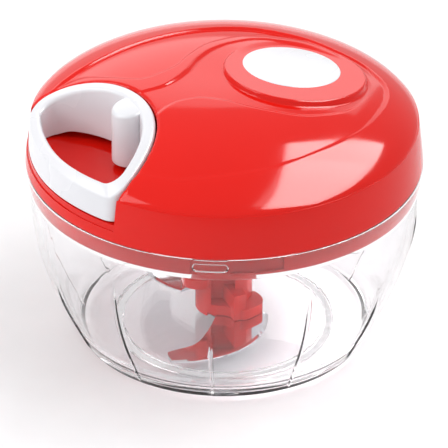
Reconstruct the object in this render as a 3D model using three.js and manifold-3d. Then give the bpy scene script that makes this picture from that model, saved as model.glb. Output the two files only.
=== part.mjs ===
// Hand chopper with a pull cord: a clear bowl, a red domed lid that holds a spring-returned cord
// reel, a ring handle that is pulled out of the lid's side, and a three-bladed cutter on a pin.
// Millimetres, +Z up. The origin is on the ground under the bowl's axis; the handle pulls to -Y.
import * as THREE from "three";
import { mergeVertices } from "three/addons/utils/BufferGeometryUtils.js";
import Module from "manifold-3d";

const wasm = await Module();
wasm.setup();

// Shared clearances
const SEAT_GAP = 0.3; // between faces that rest on each other
const RUN_GAP = 0.2; // round a shaft or a piece pressed into a bore
const OVERRUN = 2; // how far a cutter passes a face
const EMBED = 0.6; // how deep a rib or post is sunk into the wall that carries it

// Facets round a full circle
const LARGE_SIDES = 48;
const MIDDLE_SIDES = 30;
const SMALL_SIDES = 16;
const HEX_SIDES = 6;
const ARC_STEPS = 8; // half the facets of an arc in a flat outline

// Bowl
const BOWL_HEIGHT = 61.2;
const BOWL_WALL = 2.4;
const NECK_RADIUS = 61;
const RIM_FLARE = 1.4; // the rim's outside stands this far out from the neck
const COLLAR_HEIGHT = 7;
const COLLAR_STEP = 0.6;
const BASE_RADIUS = 46.4;
const BASE_LIFT = 1.6;
const BASE_ROUND = 0.8;
const FOOT_INSET = 10.9; // from the base's edge to the outside of the foot ring
const FOOT_WIDTH = 3;
const FLOOR_THICKNESS = 2.8;
const INNER_CORNER = 5;
const WALL_STEPS = 8;
const INNER_STEPS = 6;
const CORNER_STEPS = 3;
const WALL_RADIUS_SHARES = [0.5, 1.05]; // control points of the wall's curve, from base to neck
const WALL_HEIGHT_SHARES = [0.295, 0.543];
const PIN_BOSS_RADIUS = 4.5;
const PIN_BOSS_HEIGHT = 1.6;
const PIN_DEPTH = 3.6;
const RIB_COUNT = 12;
const RIB_WIDTH = 1.6;
const RIB_PROUD = 0.5;
const RIB_STEPS = 5;
const RIB_FOOT_SHARE = 0.03; // where on the wall's curve a rib starts and ends
const LONG_RIB_SHARE = 0.86;
const SHORT_RIB_SHARE = 0.56;
const LOCK_COUNT = 3;
const LOCK_ANGLE = THREE.MathUtils.degToRad(-30);
const LOCK_LENGTH = 11;
const LOCK_HEIGHT = 2.6;
const LOCK_PROUD = 1.1;
const LOCK_DROP = 1; // from the rim's top down to a locking bar

// Lid
const LID_OVERHANG = 0.1; // the skirt's edge stands this far out from the bowl's rim
const SKIRT_DRAFT = 1.5; // the skirt leans in this much from its edge to the shoulder
const SKIRT_HEIGHT = 14.2;
const EDGE_ROUND = 0.3;
const CROWN_HEIGHT = 15;
const CROWN_POWER = 2.6; // how flat the crown is in its middle
const CROWN_EDGE_POWER = 0.75; // how steeply it meets the shoulder
const LID_WALL = 2.2;
const DOME_STEPS = 9;

// Handle and the recess that it fits
const NOSE_CENTRE_INSET = 1.6; // from the shoulder in to the centre of the handle's round nose
const RECESS_CLEARANCE = 3; // from the spring's cup to the wall of the recess
const HANDLE_INSET = 0.3; // the handle's outer face lies this far inside the lid's shoulder
const HANDLE_CORNER = 4;
const HANDLE_LIFT = 5.9; // from the skirt's edge up to the handle's underside
const RING_SIDE = 3.8;
const RING_FRONT = 3.3;
const RECESS_GAP = 0.5;
const RECESS_WALL = 2;
const BOSS_RADIUS = 5.6;
const BOSS_DROP = 3; // the knot boss stops this far under the handle's top
const BOSS_INSET = 5.5; // from the nose to the boss's centre
const KNOT_INSET = 6.4; // from the nose to the knot's centre

// White disc in the crown
const DISC_CENTRE_SHARE = 0.382; // of the shoulder's radius
const DISC_RADIUS = 15.5;
const DISC_TIP = 2; // degrees that the pad tips outwards beyond the crown's own slope
const DISC_LEAN = 2.6; // degrees that the pad is raised on its +X side
const PAD_SINK = 0.7; // from the crown's surface down to the middle of the pad
const DISC_THICKNESS = 1.5;
const DISC_CROWN = 0.3;
const DISC_PAD_MARGIN = 6.8;
const DISC_PAD_WALL = 2;

// Lid base: plug, plate, spring cup and screw posts
const PLUG_GAP = 0.5; // between the plug and the bowl's rim
const PLUG_WALL = 2;
const PLATE_THICKNESS = 2.2;
const FLANGE_THICKNESS = 1.9;
const FLANGE_GAP = 0.6; // from the flange to the inside of the skirt
const CUP_RADIUS = 20.3;
const CUP_WALL = 1.4;
const CUP_COVER = 1.2;
const POST_COUNT = 4;
const POST_INSET = 5.9; // from the plug's wall to a post
const POST_RADIUS = 4.2;
const POST_FIRST = THREE.MathUtils.degToRad(-15);
const POST_STEP = THREE.MathUtils.degToRad(70);
const COLUMN_RADIUS = 3.6;
const CHANNEL_GAP = 0.4;
const LOCK_TURN = THREE.MathUtils.degToRad(16);

// Screws
const SCREW_RADIUS = 1.35;
const SCREW_REACH = 12;
const SCREW_HEAD_RADIUS = 3;
const SCREW_HEAD_HEIGHT = 2;
const SCREW_RECESS = 3; // from the plate's underside up to a screw's head
const SCREW_SLOT_WIDTH = 0.8;
const SCREW_SLOT_LENGTH = 3.6;
const SCREW_SLOT_DEPTH = 1;

// Drive: axle, reel, bush and hexagonal shaft
const AXLE_RADIUS = 2;
const AXLE_BOSS_RADIUS = 5;
const AXLE_BOSS_GAP = 0.4;
const AXLE_SEAT = 3.4;
const AXLE_REACH = 15;
const JOURNAL_RADIUS = 5.5;
const BUSH_WALL = 1.5;
const BUSH_FLANGE = 1;
const BUSH_FLANGE_WIDTH = 2.4;
const BUSH_BOSS_RADIUS = 10;
const BUSH_BOSS_HEIGHT = 3.3;
const ARBOR_RADIUS = 6.5;
const ARBOR_SHOULDER = 0.6;
const DRUM_RADIUS = 9.4;
const REEL_FLANGE_RADIUS = 17;
const REEL_FLANGE = 1.2;
const GROOVE_WIDTH = 8.3;
const REEL_CAP_SPIGOT = 1.5;
const SHAFT_FLATS = 8.6;
const SHAFT_REACH = 12.2;
const TANG_FLATS = 6;
const TANG_LENGTH = 7.6;

// Recoil spring: a flat spiral strip
const SPRING_WIDTH = 5;
const SPRING_STRIP = 0.4;
const SPRING_TURNS = 8;
const SPRING_STEPS = 24;
const SPRING_TAIL = 2.2;
const SPRING_SLOT = 1.1;

// Cord
const CORD_RADIUS = 0.8;
const CORD_PITCH = 2.1;
const CORD_LAYER_TURNS = 3;
const CORD_CLIMB_TURNS = 0.25;
const CORD_STEPS = 24;
const CORD_SIDES = 6;
const CORD_LEAD_SIDES = 8;
const CORD_BEND = 1.6; // length of the cord taken by half of its bend
const KNOT_RADIUS = 2.2;
const KNOT_POCKET_RADIUS = 2.7;
const CORD_HOLE_RADIUS = 1.3;
const EYELET_WALL = 1.1;
const EYELET_FLANGE = 0.9;
const EYELET_FLANGE_WIDTH = 1;

// Cutter: pin, hub and three blades
const PIN_RADIUS = 2;
const PIN_LENGTH = 27;
const HUB_RADIUS = 9.2;
const HUB_CORE_RADIUS = 4.7;
const HUB_FOOT_RADIUS = 6.5;
const HUB_FOOT_HEIGHT = 1;
const HUB_TOP_GAP = 1; // from the hub's top to the lid's plate
const BORE_END = 4;
const SOCKET_GAP = 0.25;
const BLADE_THICKNESS = 1;
const BLADE_COUNT = 3;
const BLADE_SPACING = 9.3;
const BLADE_TURN = THREE.MathUtils.degToRad(-120);
const BLADE_ROOT_ANGLE = THREE.MathUtils.degToRad(36);
const BLADE_SWEEP = THREE.MathUtils.degToRad(87);
const BLADE_HEEL_RADIUS = 16;
const BLADE_TIP_GAP = 1; // from a tip to where the bowl's inner corner starts
const BLADE_SWEEP_POWER = 1.15;
const BLADE_STEPS = 12;
const BLADE_BEVEL = 1.8;
const BLADE_GRIP_RADIUS = 5;
const BLADE_BACK_RADIUS_SHARES = [0.918, 0.859, 0.697, 0.472, 0.241]; // of the tip's radius
const BLADE_BACK_ANGLE_SHARES = [1.055, 1.037, 0.931, 0.891, 0.89]; // of the sweep
const SLOT_LEAD = THREE.MathUtils.degToRad(10);
const SHOE_RADII = [8.2, 12, 13.7, 14.1, 13.9, 13.1, 11.8, 10]; // outline of a blade's clamp
const SHOE_DEGREES = [-97, -41, -30, -6, 2, 9, 17, 27]; // from the blade's root angle
const SHOE_HEIGHT = 3.4;
const POST_FACE_RADIUS = 12.8;
const POST_FACE_WIDTH = 4.2;
const POST_FACE_HEIGHT = 9;
const POST_FACE_LEAD = THREE.MathUtils.degToRad(-37.5);
const POCKET_WIDTH = 7.6;
const POCKET_HEIGHT = 11;
const POCKET_LEAD = THREE.MathUtils.degToRad(-63.5);

// Heights and radii that follow from the sizes above
const floorTop = BASE_LIFT + FLOOR_THICKNESS;
const collarBottom = BOWL_HEIGHT - COLLAR_HEIGHT;
const rimInner = NECK_RADIUS - BOWL_WALL;
const rimRadius = NECK_RADIUS + RIM_FLARE;
const footRadius = BASE_RADIUS - FOOT_INSET;
const pinBossTop = floorTop + PIN_BOSS_HEIGHT;
const skirtEdge = BOWL_HEIGHT + SEAT_GAP;
const shoulderHeight = skirtEdge + SKIRT_HEIGHT;
const crownTop = shoulderHeight + CROWN_HEIGHT;
const lidRadius = rimRadius + LID_OVERHANG;
const shoulderRadius = lidRadius - SKIRT_DRAFT;
const discCentre = DISC_CENTRE_SHARE * shoulderRadius;
const padRadius = DISC_RADIUS + DISC_PAD_MARGIN;
const plugRadius = rimInner - PLUG_GAP;
const postCircle = plugRadius - PLUG_WALL - POST_INSET - POST_RADIUS;
const plugBottom = collarBottom + SEAT_GAP;
const plateTop = plugBottom + PLATE_THICKNESS;
const flangeTop = skirtEdge + FLANGE_THICKNESS;
const bushBossTop = plateTop + BUSH_BOSS_HEIGHT;
const bushTop = bushBossTop + SEAT_GAP + BUSH_FLANGE;
const arborBottom = bushTop + SEAT_GAP;
const springBottom = arborBottom + ARBOR_SHOULDER + SEAT_GAP;
const cupTop = springBottom + SPRING_WIDTH + SEAT_GAP;
const cupCoverBottom = cupTop + SEAT_GAP;
const reelBottom = cupCoverBottom + CUP_COVER + SEAT_GAP;
const grooveBottom = reelBottom + REEL_FLANGE;
const grooveTop = grooveBottom + GROOVE_WIDTH;
const reelTop = grooveTop + REEL_FLANGE;
const axleBossBottom = reelTop + AXLE_BOSS_GAP;
const axleTop = axleBossBottom + AXLE_SEAT;
const axleBottom = axleTop - AXLE_SEAT - AXLE_REACH;
const postTop = flangeTop + RUN_GAP;
const columnBottom = postTop + SEAT_GAP;
const screwSeat = plugBottom + SCREW_RECESS + SCREW_HEAD_HEIGHT;
const handleBottom = skirtEdge + HANDLE_LIFT;
const recessFloor = handleBottom - SEAT_GAP;
const handleFront = shoulderRadius - HANDLE_INSET;
const noseReach = CUP_RADIUS + CUP_WALL + RECESS_CLEARANCE + RECESS_WALL + RECESS_GAP;
const handleCentre = shoulderRadius - NOSE_CENTRE_INSET;
const noseRadius = handleCentre - noseReach;
const bladeTip = BASE_RADIUS - BOWL_WALL - INNER_CORNER - BLADE_TIP_GAP;
const hubBottom = pinBossTop + SEAT_GAP;
const firstBlade = hubBottom + HUB_FOOT_HEIGHT + RUN_GAP;
const hubTop = plugBottom - HUB_TOP_GAP;
const shaftBottom = plugBottom - SHAFT_REACH;
const cordHeight = grooveBottom + CORD_RADIUS + RUN_GAP;
const drumPath = DRUM_RADIUS + CORD_RADIUS + RUN_GAP;
const outerPath = drumPath + CORD_PITCH;
const eyeletSeat = noseReach - RECESS_GAP - RECESS_WALL; // inner face of the recess's wall
const eyeletFace = eyeletSeat - SEAT_GAP - EYELET_FLANGE;
const cordCorner = eyeletFace - CORD_BEND; // where the cord turns to run straight out

// Turns a closed geometry into a solid for joining and cutting.
function solid(geometry) {
  const bare = (geometry.index ? geometry.toNonIndexed() : geometry).clone();
  for (const name of Object.keys(bare.attributes)) {
    if (name !== "position") bare.deleteAttribute(name);
  }
  const merged = mergeVertices(bare, 1e-4);
  const corners = [];
  for (let i = 0; i < merged.index.count; i += 3) {
    const [a, b, c] = [0, 1, 2].map((k) => merged.index.getX(i + k));
    if (a !== b && b !== c && a !== c) corners.push(a, b, c);
  }
  return new wasm.Manifold(
    new wasm.Mesh({
      numProp: 3,
      vertProperties: new Float32Array(merged.attributes.position.array),
      triVerts: new Uint32Array(corners),
    }),
  );
}

// Turns a solid back into a mesh geometry.
function geometryOf(body) {
  const mesh = body.getMesh();
  const geometry = new THREE.BufferGeometry();
  const places = new Float32Array(mesh.vertProperties);
  geometry.setAttribute("position", new THREE.BufferAttribute(places, mesh.numProp));
  geometry.setIndex(new THREE.BufferAttribute(new Uint32Array(mesh.triVerts), 1));
  geometry.computeVertexNormals();
  return geometry;
}

// Joins several solids into one.
function join(first, ...others) {
  return others.reduce((whole, next) => whole.add(next), first);
}

// Cuts several solids out of one.
function cut(first, ...others) {
  return others.reduce((whole, next) => whole.subtract(next), first);
}

// Revolves a closed profile of [radius, height] points round the Z axis, facing outwards.
function revolve(points, sides = LARGE_SIDES) {
  const area = points.reduce((sum, [r, z], i) => {
    const [nextR, nextZ] = points[(i + 1) % points.length];
    return sum + r * nextZ - nextR * z;
  }, 0);
  const ordered = area > 0 ? points : [...points].reverse();
  const closed = ordered[0][0] === 0 ? ordered : [...ordered, ordered[0]];
  const profile = closed.map(([r, z]) => new THREE.Vector2(r, z));
  return solid(new THREE.LatheGeometry(profile, sides).rotateX(Math.PI / 2));
}

// An upright cylinder between two heights.
function barrel(radius, low, high, { x = 0, y = 0, sides = MIDDLE_SIDES, turn = 0 } = {}) {
  const geometry = new THREE.CylinderGeometry(radius, radius, high - low, sides);
  geometry.rotateX(Math.PI / 2).rotateZ(turn);
  return solid(geometry.translate(x, y, (low + high) / 2));
}

// An upright tube between two heights.
function ring(outer, inner, low, high, options = {}) {
  const hole = barrel(inner, low - OVERRUN, high + OVERRUN, options);
  return barrel(outer, low, high, options).subtract(hole);
}

// A six-sided bar, sized across its flats.
function hexBar(flats, low, high) {
  return barrel(flats / Math.sqrt(3), low, high, { sides: HEX_SIDES });
}

// A cylinder along Y.
function crossBar(radius, from, to, height, x = 0) {
  const geometry = new THREE.CylinderGeometry(radius, radius, to - from, SMALL_SIDES);
  return solid(geometry.translate(x, (from + to) / 2, height));
}

// A flat outline raised between two heights.
function prism(shape, low, high, curveSegments = ARC_STEPS) {
  const depth = high - low;
  const geometry = new THREE.ExtrudeGeometry(shape, { depth, bevelEnabled: false, curveSegments });
  return solid(geometry.translate(0, 0, low));
}

// A block that is centred on its length and width.
function block(length, width, low, high) {
  const geometry = new THREE.BoxGeometry(length, width, high - low);
  return geometry.translate(0, 0, (low + high) / 2);
}

// Height of the lid's outer surface at a distance from the axis.
function crownHeight(radius) {
  const share = Math.min(radius / (shoulderRadius - EDGE_ROUND), 1);
  return shoulderHeight + CROWN_HEIGHT * (1 - share ** CROWN_POWER) ** CROWN_EDGE_POWER;
}

// Outer curve of the bowl's wall, from the base's corner to the neck.
function wallCurve() {
  const rise = collarBottom - COLLAR_STEP - BASE_LIFT - BASE_ROUND;
  const spread = NECK_RADIUS - BASE_RADIUS;
  const low = BASE_LIFT + BASE_ROUND;
  const controls = WALL_RADIUS_SHARES.map(
    (share, i) =>
      new THREE.Vector2(BASE_RADIUS + share * spread, low + WALL_HEIGHT_SHARES[i] * rise),
  );
  return new THREE.CubicBezierCurve(
    new THREE.Vector2(BASE_RADIUS, low),
    ...controls,
    new THREE.Vector2(NECK_RADIUS, low + rise),
  );
}

// Inner curve of the bowl's wall, from the rim down to the floor.
function innerWall() {
  const start = floorTop + INNER_CORNER;
  const wall = wallCurve()
    .getPoints(INNER_STEPS)
    .map((p) => [p.x - BOWL_WALL, p.y])
    .filter(([, z]) => z > start);
  const [lowRadius] = wall[0];
  const centre = lowRadius - INNER_CORNER;
  const corner = [];
  for (let i = 1; i <= CORNER_STEPS; i++) {
    const angle = ((i / CORNER_STEPS) * Math.PI) / 2;
    corner.push([
      centre + INNER_CORNER * Math.cos(angle),
      start - INNER_CORNER * Math.sin(angle),
    ]);
  }
  return [...wall.reverse(), [lowRadius, start], ...corner];
}

// One upright rib on the outside of the bowl, which fades into the wall at its top.
function rib(angle, endShare) {
  const curve = wallCurve();
  const outline = new THREE.Shape();
  const proud = [];
  const sunk = [];
  for (let i = 0; i <= RIB_STEPS; i++) {
    const along = RIB_FOOT_SHARE + ((endShare - RIB_FOOT_SHARE) * i) / RIB_STEPS;
    const point = curve.getPoint(along);
    const fade = Math.min(1, (RIB_STEPS - i) / 2);
    proud.push(new THREE.Vector2(point.x + RIB_PROUD * fade, point.y));
    sunk.unshift(new THREE.Vector2(point.x - EMBED, point.y));
  }
  outline.setFromPoints([...proud, ...sunk]);
  const geometry = new THREE.ExtrudeGeometry(outline, { depth: RIB_WIDTH, bevelEnabled: false });
  geometry.translate(0, 0, -RIB_WIDTH / 2).rotateX(Math.PI / 2);
  return solid(geometry.rotateZ(angle));
}

// An upright bar with round ends that follows the wall, for the locking bars and their channels.
function wallBar(length, low, high, inner, outer, angle) {
  const radius = (high - low) / 2;
  const half = length / 2 - radius;
  const outline = new THREE.Shape();
  outline.absarc(half, 0, radius, -Math.PI / 2, Math.PI / 2);
  outline.absarc(-half, 0, radius, Math.PI / 2, (3 * Math.PI) / 2);
  const depth = outer - inner + OVERRUN;
  const geometry = new THREE.ExtrudeGeometry(outline, {
    depth,
    bevelEnabled: false,
    curveSegments: HEX_SIDES,
  });
  geometry.rotateX(Math.PI / 2).rotateZ(Math.PI / 2);
  geometry.translate(inner - OVERRUN, 0, (low + high) / 2).rotateZ(angle);
  const wall = ring(outer, inner, low - OVERRUN, high + OVERRUN, { sides: LARGE_SIDES });
  return solid(geometry).intersect(wall);
}

function bowl() {
  const wall = wallCurve()
    .getPoints(WALL_STEPS)
    .map((p) => [p.x, p.y]);
  const footInner = footRadius - FOOT_WIDTH;
  const pinHole = PIN_RADIUS + RUN_GAP;
  const profile = [
    [0, BASE_LIFT],
    [footInner, BASE_LIFT],
    [footInner, 0],
    [footRadius, 0],
    [footRadius, BASE_LIFT],
    [BASE_RADIUS - BASE_ROUND, BASE_LIFT],
    ...wall,
    [NECK_RADIUS + COLLAR_STEP, collarBottom],
    [rimRadius, BOWL_HEIGHT - COLLAR_STEP],
    [rimRadius - COLLAR_STEP, BOWL_HEIGHT],
    [rimInner, BOWL_HEIGHT],
    ...innerWall(),
    [PIN_BOSS_RADIUS, floorTop],
    [PIN_BOSS_RADIUS, pinBossTop],
    [pinHole, pinBossTop],
    [pinHole, pinBossTop - PIN_DEPTH],
    [0, pinBossTop - PIN_DEPTH],
  ];
  const ribs = Array.from({ length: RIB_COUNT }, (_, i) =>
    rib((i * 2 * Math.PI) / RIB_COUNT, i % 2 ? SHORT_RIB_SHARE : LONG_RIB_SHARE),
  );
  const lockTop = BOWL_HEIGHT - LOCK_DROP;
  const bars = Array.from({ length: LOCK_COUNT }, (_, i) =>
    wallBar(
      LOCK_LENGTH,
      lockTop - LOCK_HEIGHT,
      lockTop,
      rimInner - LOCK_PROUD,
      rimInner + EMBED,
      LOCK_ANGLE + (i * 2 * Math.PI) / LOCK_COUNT,
    ),
  );
  return join(revolve(profile), ...ribs, ...bars);
}

function bowlPin() {
  const low = pinBossTop - PIN_DEPTH + RUN_GAP;
  const body = barrel(PIN_RADIUS, low, low + PIN_LENGTH - PIN_RADIUS, { sides: SMALL_SIDES });
  const tip = new THREE.SphereGeometry(PIN_RADIUS, SMALL_SIDES, HEX_SIDES);
  tip.rotateX(Math.PI / 2).translate(0, 0, low + PIN_LENGTH - PIN_RADIUS);
  return body.add(solid(tip));
}

// Outline where the lid's circle and the nose's circle overlap, with rounded corners. Both
// circles are drawn in by an inset.
function lens(front, nose, corner) {
  const a = front - corner;
  const b = nose - corner;
  const d = handleCentre;
  const down = (a * a - b * b + d * d) / (2 * d);
  const side = Math.sqrt(a * a - down * down);
  const lidAngle = Math.atan2(-down, side);
  const noseAngle = Math.atan2(d - down, side);
  const outline = new THREE.Shape();
  outline.absarc(0, 0, front, Math.PI - lidAngle, 2 * Math.PI + lidAngle);
  outline.absarc(side, -down, corner, lidAngle, noseAngle);
  outline.absarc(0, -d, nose, noseAngle, Math.PI - noseAngle);
  outline.absarc(-side, -down, corner, Math.PI - noseAngle, Math.PI - lidAngle);
  return outline;
}

// The whole space under the lid's outer surface, drawn in by an inset.
function lidForm(inset) {
  const points = [[0, skirtEdge - OVERRUN]];
  points.push([lidRadius - inset, skirtEdge - OVERRUN]);
  points.push([lidRadius - inset, skirtEdge]);
  points.push([shoulderRadius - inset, shoulderHeight - inset / 2]);
  for (let i = 1; i <= DOME_STEPS; i++) {
    const share = Math.cos(((i / DOME_STEPS) * Math.PI) / 2);
    const radius = (shoulderRadius - EDGE_ROUND) * share;
    points.push([radius * (1 - inset / shoulderRadius), crownHeight(radius) - inset]);
  }
  return revolve(points);
}

// Places a piece on the crown's flat pad, where the white disc sits.
function onCrown(body) {
  const slope = Math.atan2(
    crownHeight(discCentre - EMBED) - crownHeight(discCentre + EMBED),
    2 * EMBED,
  );
  const tip = THREE.MathUtils.radToDeg(slope) + DISC_TIP;
  const place = [0, discCentre, crownHeight(discCentre) - PAD_SINK];
  return body.rotate([-tip, -DISC_LEAN, 0]).translate(place);
}

function postAngles() {
  return Array.from({ length: POST_COUNT }, (_, i) => POST_FIRST + i * POST_STEP);
}

function aroundPosts(make) {
  return postAngles().map((angle) =>
    make(postCircle * Math.cos(angle), postCircle * Math.sin(angle)),
  );
}

function lidCover() {
  const outside = lidForm(0);
  const trim = block(2 * lidRadius + OVERRUN, 2 * lidRadius + OVERRUN, 0, skirtEdge);
  const shell = cut(outside, lidForm(LID_WALL), solid(trim));
  const top = crownTop + OVERRUN;
  const recessRadius = noseRadius + RECESS_GAP;
  const tub = barrel(recessRadius + RECESS_WALL, recessFloor - RECESS_WALL, top, {
    y: -handleCentre,
    sides: LARGE_SIDES,
  }).intersect(outside);
  const recess = barrel(recessRadius, recessFloor, top, { y: -handleCentre, sides: LARGE_SIDES });
  const padDepth = DISC_THICKNESS + DISC_PAD_WALL;
  const pad = onCrown(barrel(padRadius, -padDepth, 0, { sides: LARGE_SIDES }));
  const abovePad = onCrown(barrel(padRadius, 0, 2 * OVERRUN, { sides: LARGE_SIDES }));
  const pocket = onCrown(barrel(DISC_RADIUS + SEAT_GAP, -DISC_THICKNESS, OVERRUN));
  const columns = aroundPosts((x, y) =>
    barrel(COLUMN_RADIUS, columnBottom, crownTop, { x, y, sides: SMALL_SIDES }).intersect(outside),
  );
  const screwTop = screwSeat + SCREW_REACH + SEAT_GAP;
  const holes = aroundPosts((x, y) =>
    barrel(SCREW_RADIUS + RUN_GAP, 0, screwTop, { x, y, sides: SMALL_SIDES }),
  );
  const boss = barrel(AXLE_BOSS_RADIUS, axleBossBottom, crownTop).intersect(outside);
  const axleHole = barrel(AXLE_RADIUS + RUN_GAP, 0, axleTop + RUN_GAP);
  const eyeletHole = crossBar(
    eyeletRadius() + RUN_GAP,
    -noseReach,
    -noseReach + RECESS_WALL + OVERRUN,
    cordHeight,
  );
  const whole = join(shell, tub, ...columns, boss).subtract(abovePad).add(pad);
  return cut(whole, recess, pocket, ...holes, axleHole, eyeletHole);
}

function whiteDisc() {
  const low = SEAT_GAP - DISC_THICKNESS;
  const profile = [
    [0, low],
    [DISC_RADIUS, low],
    [DISC_RADIUS, 0],
    [DISC_RADIUS - DISC_CROWN, DISC_CROWN / 2],
    [DISC_RADIUS / 2, DISC_CROWN],
    [0, DISC_CROWN],
  ];
  return onCrown(revolve(profile, MIDDLE_SIDES));
}

// A channel in the plug: an upright entry for a locking bar, and a run that it turns along.
function lockChannel(angle) {
  const lockTop = BOWL_HEIGHT - LOCK_DROP + CHANNEL_GAP;
  const low = lockTop - LOCK_HEIGHT - 2 * CHANNEL_GAP;
  const inner = rimInner - LOCK_PROUD - CHANNEL_GAP;
  const half = Math.asin(LOCK_LENGTH / 2 / inner) + CHANNEL_GAP / inner;
  const band = ring(rimInner, inner, plugBottom - OVERRUN, lockTop, { sides: LARGE_SIDES });
  const entry = wedge(rimInner + OVERRUN, angle - half, angle + half);
  const run = wedge(rimInner + OVERRUN, angle - half, angle + half + LOCK_TURN);
  const entryBody = prism(entry, plugBottom - OVERRUN, lockTop);
  const runBody = prism(run, low, lockTop);
  return entryBody.add(runBody).intersect(band);
}

// A flat wedge between two angles.
function wedge(radius, from, to) {
  const outline = new THREE.Shape();
  outline.moveTo(0, 0);
  outline.absarc(0, 0, radius, from, to);
  outline.lineTo(0, 0);
  return outline;
}

function lidBase() {
  const bushHole = JOURNAL_RADIUS + RUN_GAP + BUSH_WALL + RUN_GAP;
  const inner = plugRadius - PLUG_WALL;
  const flangeRadius = lidRadius - LID_WALL - FLANGE_GAP;
  const profile = [
    [bushHole, plugBottom],
    [plugRadius, plugBottom],
    [plugRadius, skirtEdge],
    [flangeRadius, skirtEdge],
    [flangeRadius, flangeTop],
    [inner, flangeTop],
    [inner, plateTop],
    [CUP_RADIUS + CUP_WALL, plateTop],
    [CUP_RADIUS + CUP_WALL, cupTop],
    [CUP_RADIUS, cupTop],
    [CUP_RADIUS, plateTop],
    [BUSH_BOSS_RADIUS, plateTop],
    [BUSH_BOSS_RADIUS, bushBossTop],
    [bushHole, bushBossTop],
  ];
  const posts = aroundPosts((x, y) =>
    barrel(POST_RADIUS, plateTop - EMBED, postTop, { x, y, sides: SMALL_SIDES }),
  );
  const heads = aroundPosts((x, y) =>
    barrel(SCREW_HEAD_RADIUS + SEAT_GAP, 0, screwSeat + SEAT_GAP, { x, y, sides: SMALL_SIDES }),
  );
  const holes = aroundPosts((x, y) =>
    barrel(SCREW_RADIUS + SEAT_GAP, 0, postTop + OVERRUN, { x, y, sides: SMALL_SIDES }),
  );
  const channels = Array.from({ length: LOCK_COUNT }, (_, i) =>
    lockChannel(LOCK_ANGLE + (i * 2 * Math.PI) / LOCK_COUNT),
  );
  const spring = solid(springSlotCutter());
  return cut(join(revolve(profile), ...posts), ...heads, ...holes, ...channels, spring);
}

// The slot in the cup's wall that holds the spring's outer tail.
function springSlotCutter() {
  const slot = block(2 * CUP_WALL + OVERRUN, SPRING_SLOT, springBottom - RUN_GAP, cupTop + OVERRUN);
  return slot.translate(CUP_RADIUS + CUP_WALL / 2, 0, 0);
}

function cupCover() {
  const hole = ARBOR_RADIUS + 2 * RUN_GAP;
  const top = cupCoverBottom + CUP_COVER;
  return ring(CUP_RADIUS + CUP_WALL, hole, cupCoverBottom, top, { sides: MIDDLE_SIDES });
}

function screw(x, y) {
  const head = barrel(SCREW_HEAD_RADIUS, screwSeat - SCREW_HEAD_HEIGHT, screwSeat, {
    sides: SMALL_SIDES,
  });
  const shank = barrel(SCREW_RADIUS, screwSeat - EMBED, screwSeat + SCREW_REACH - SCREW_RADIUS, {
    sides: SMALL_SIDES,
  });
  const point = new THREE.CylinderGeometry(
    SCREW_RADIUS / 2,
    SCREW_RADIUS,
    SCREW_RADIUS,
    SMALL_SIDES,
  );
  point.rotateX(Math.PI / 2).translate(0, 0, screwSeat + SCREW_REACH - SCREW_RADIUS / 2);
  const low = screwSeat - SCREW_HEAD_HEIGHT;
  const slots = [
    block(SCREW_SLOT_LENGTH, SCREW_SLOT_WIDTH, low - OVERRUN, low + SCREW_SLOT_DEPTH),
    block(SCREW_SLOT_WIDTH, SCREW_SLOT_LENGTH, low - OVERRUN, low + SCREW_SLOT_DEPTH),
  ].map(solid);
  return cut(join(head, shank, solid(point)), ...slots).translate([x, y, 0]);
}

function axle() {
  return barrel(AXLE_RADIUS, axleBottom, axleTop, { sides: SMALL_SIDES });
}

function bush() {
  const outer = JOURNAL_RADIUS + RUN_GAP + BUSH_WALL;
  const inner = JOURNAL_RADIUS + RUN_GAP;
  const flangeLow = bushBossTop + SEAT_GAP;
  const profile = [
    [inner, plugBottom + SEAT_GAP],
    [outer, plugBottom + SEAT_GAP],
    [outer, flangeLow],
    [outer + BUSH_FLANGE_WIDTH, flangeLow],
    [outer + BUSH_FLANGE_WIDTH, bushTop],
    [inner, bushTop],
  ];
  return revolve(profile, MIDDLE_SIDES);
}

function reel() {
  const journalLow = plugBottom + SEAT_GAP;
  const shoulder = arborBottom + ARBOR_SHOULDER;
  const spigotRadius = DRUM_RADIUS - BUSH_WALL;
  const spigotTop = grooveTop + REEL_CAP_SPIGOT / 2;
  const profile = [
    [0, journalLow],
    [JOURNAL_RADIUS, journalLow],
    [JOURNAL_RADIUS, arborBottom],
    [JOURNAL_RADIUS + BUSH_WALL + BUSH_FLANGE, arborBottom],
    [JOURNAL_RADIUS + BUSH_WALL + BUSH_FLANGE, shoulder],
    [ARBOR_RADIUS, shoulder],
    [ARBOR_RADIUS, reelBottom],
    [REEL_FLANGE_RADIUS, reelBottom],
    [REEL_FLANGE_RADIUS, grooveBottom],
    [DRUM_RADIUS, grooveBottom],
    [DRUM_RADIUS, grooveTop],
    [spigotRadius, grooveTop],
    [spigotRadius, spigotTop],
    [0, spigotTop],
  ];
  const axleBore = barrel(AXLE_RADIUS + RUN_GAP, axleBottom - SEAT_GAP, reelTop + OVERRUN);
  const tangTop = journalLow + TANG_LENGTH + SEAT_GAP;
  const tangBore = hexBar(TANG_FLATS + 2 * RUN_GAP, journalLow - OVERRUN, tangTop);
  const slot = block(ARBOR_RADIUS, SPRING_SLOT, springBottom - RUN_GAP, cupTop);
  slot.translate(ARBOR_RADIUS - SPRING_TAIL + ARBOR_RADIUS / 2, 0, 0);
  return cut(revolve(profile, MIDDLE_SIDES), axleBore, tangBore, solid(slot));
}

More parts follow.
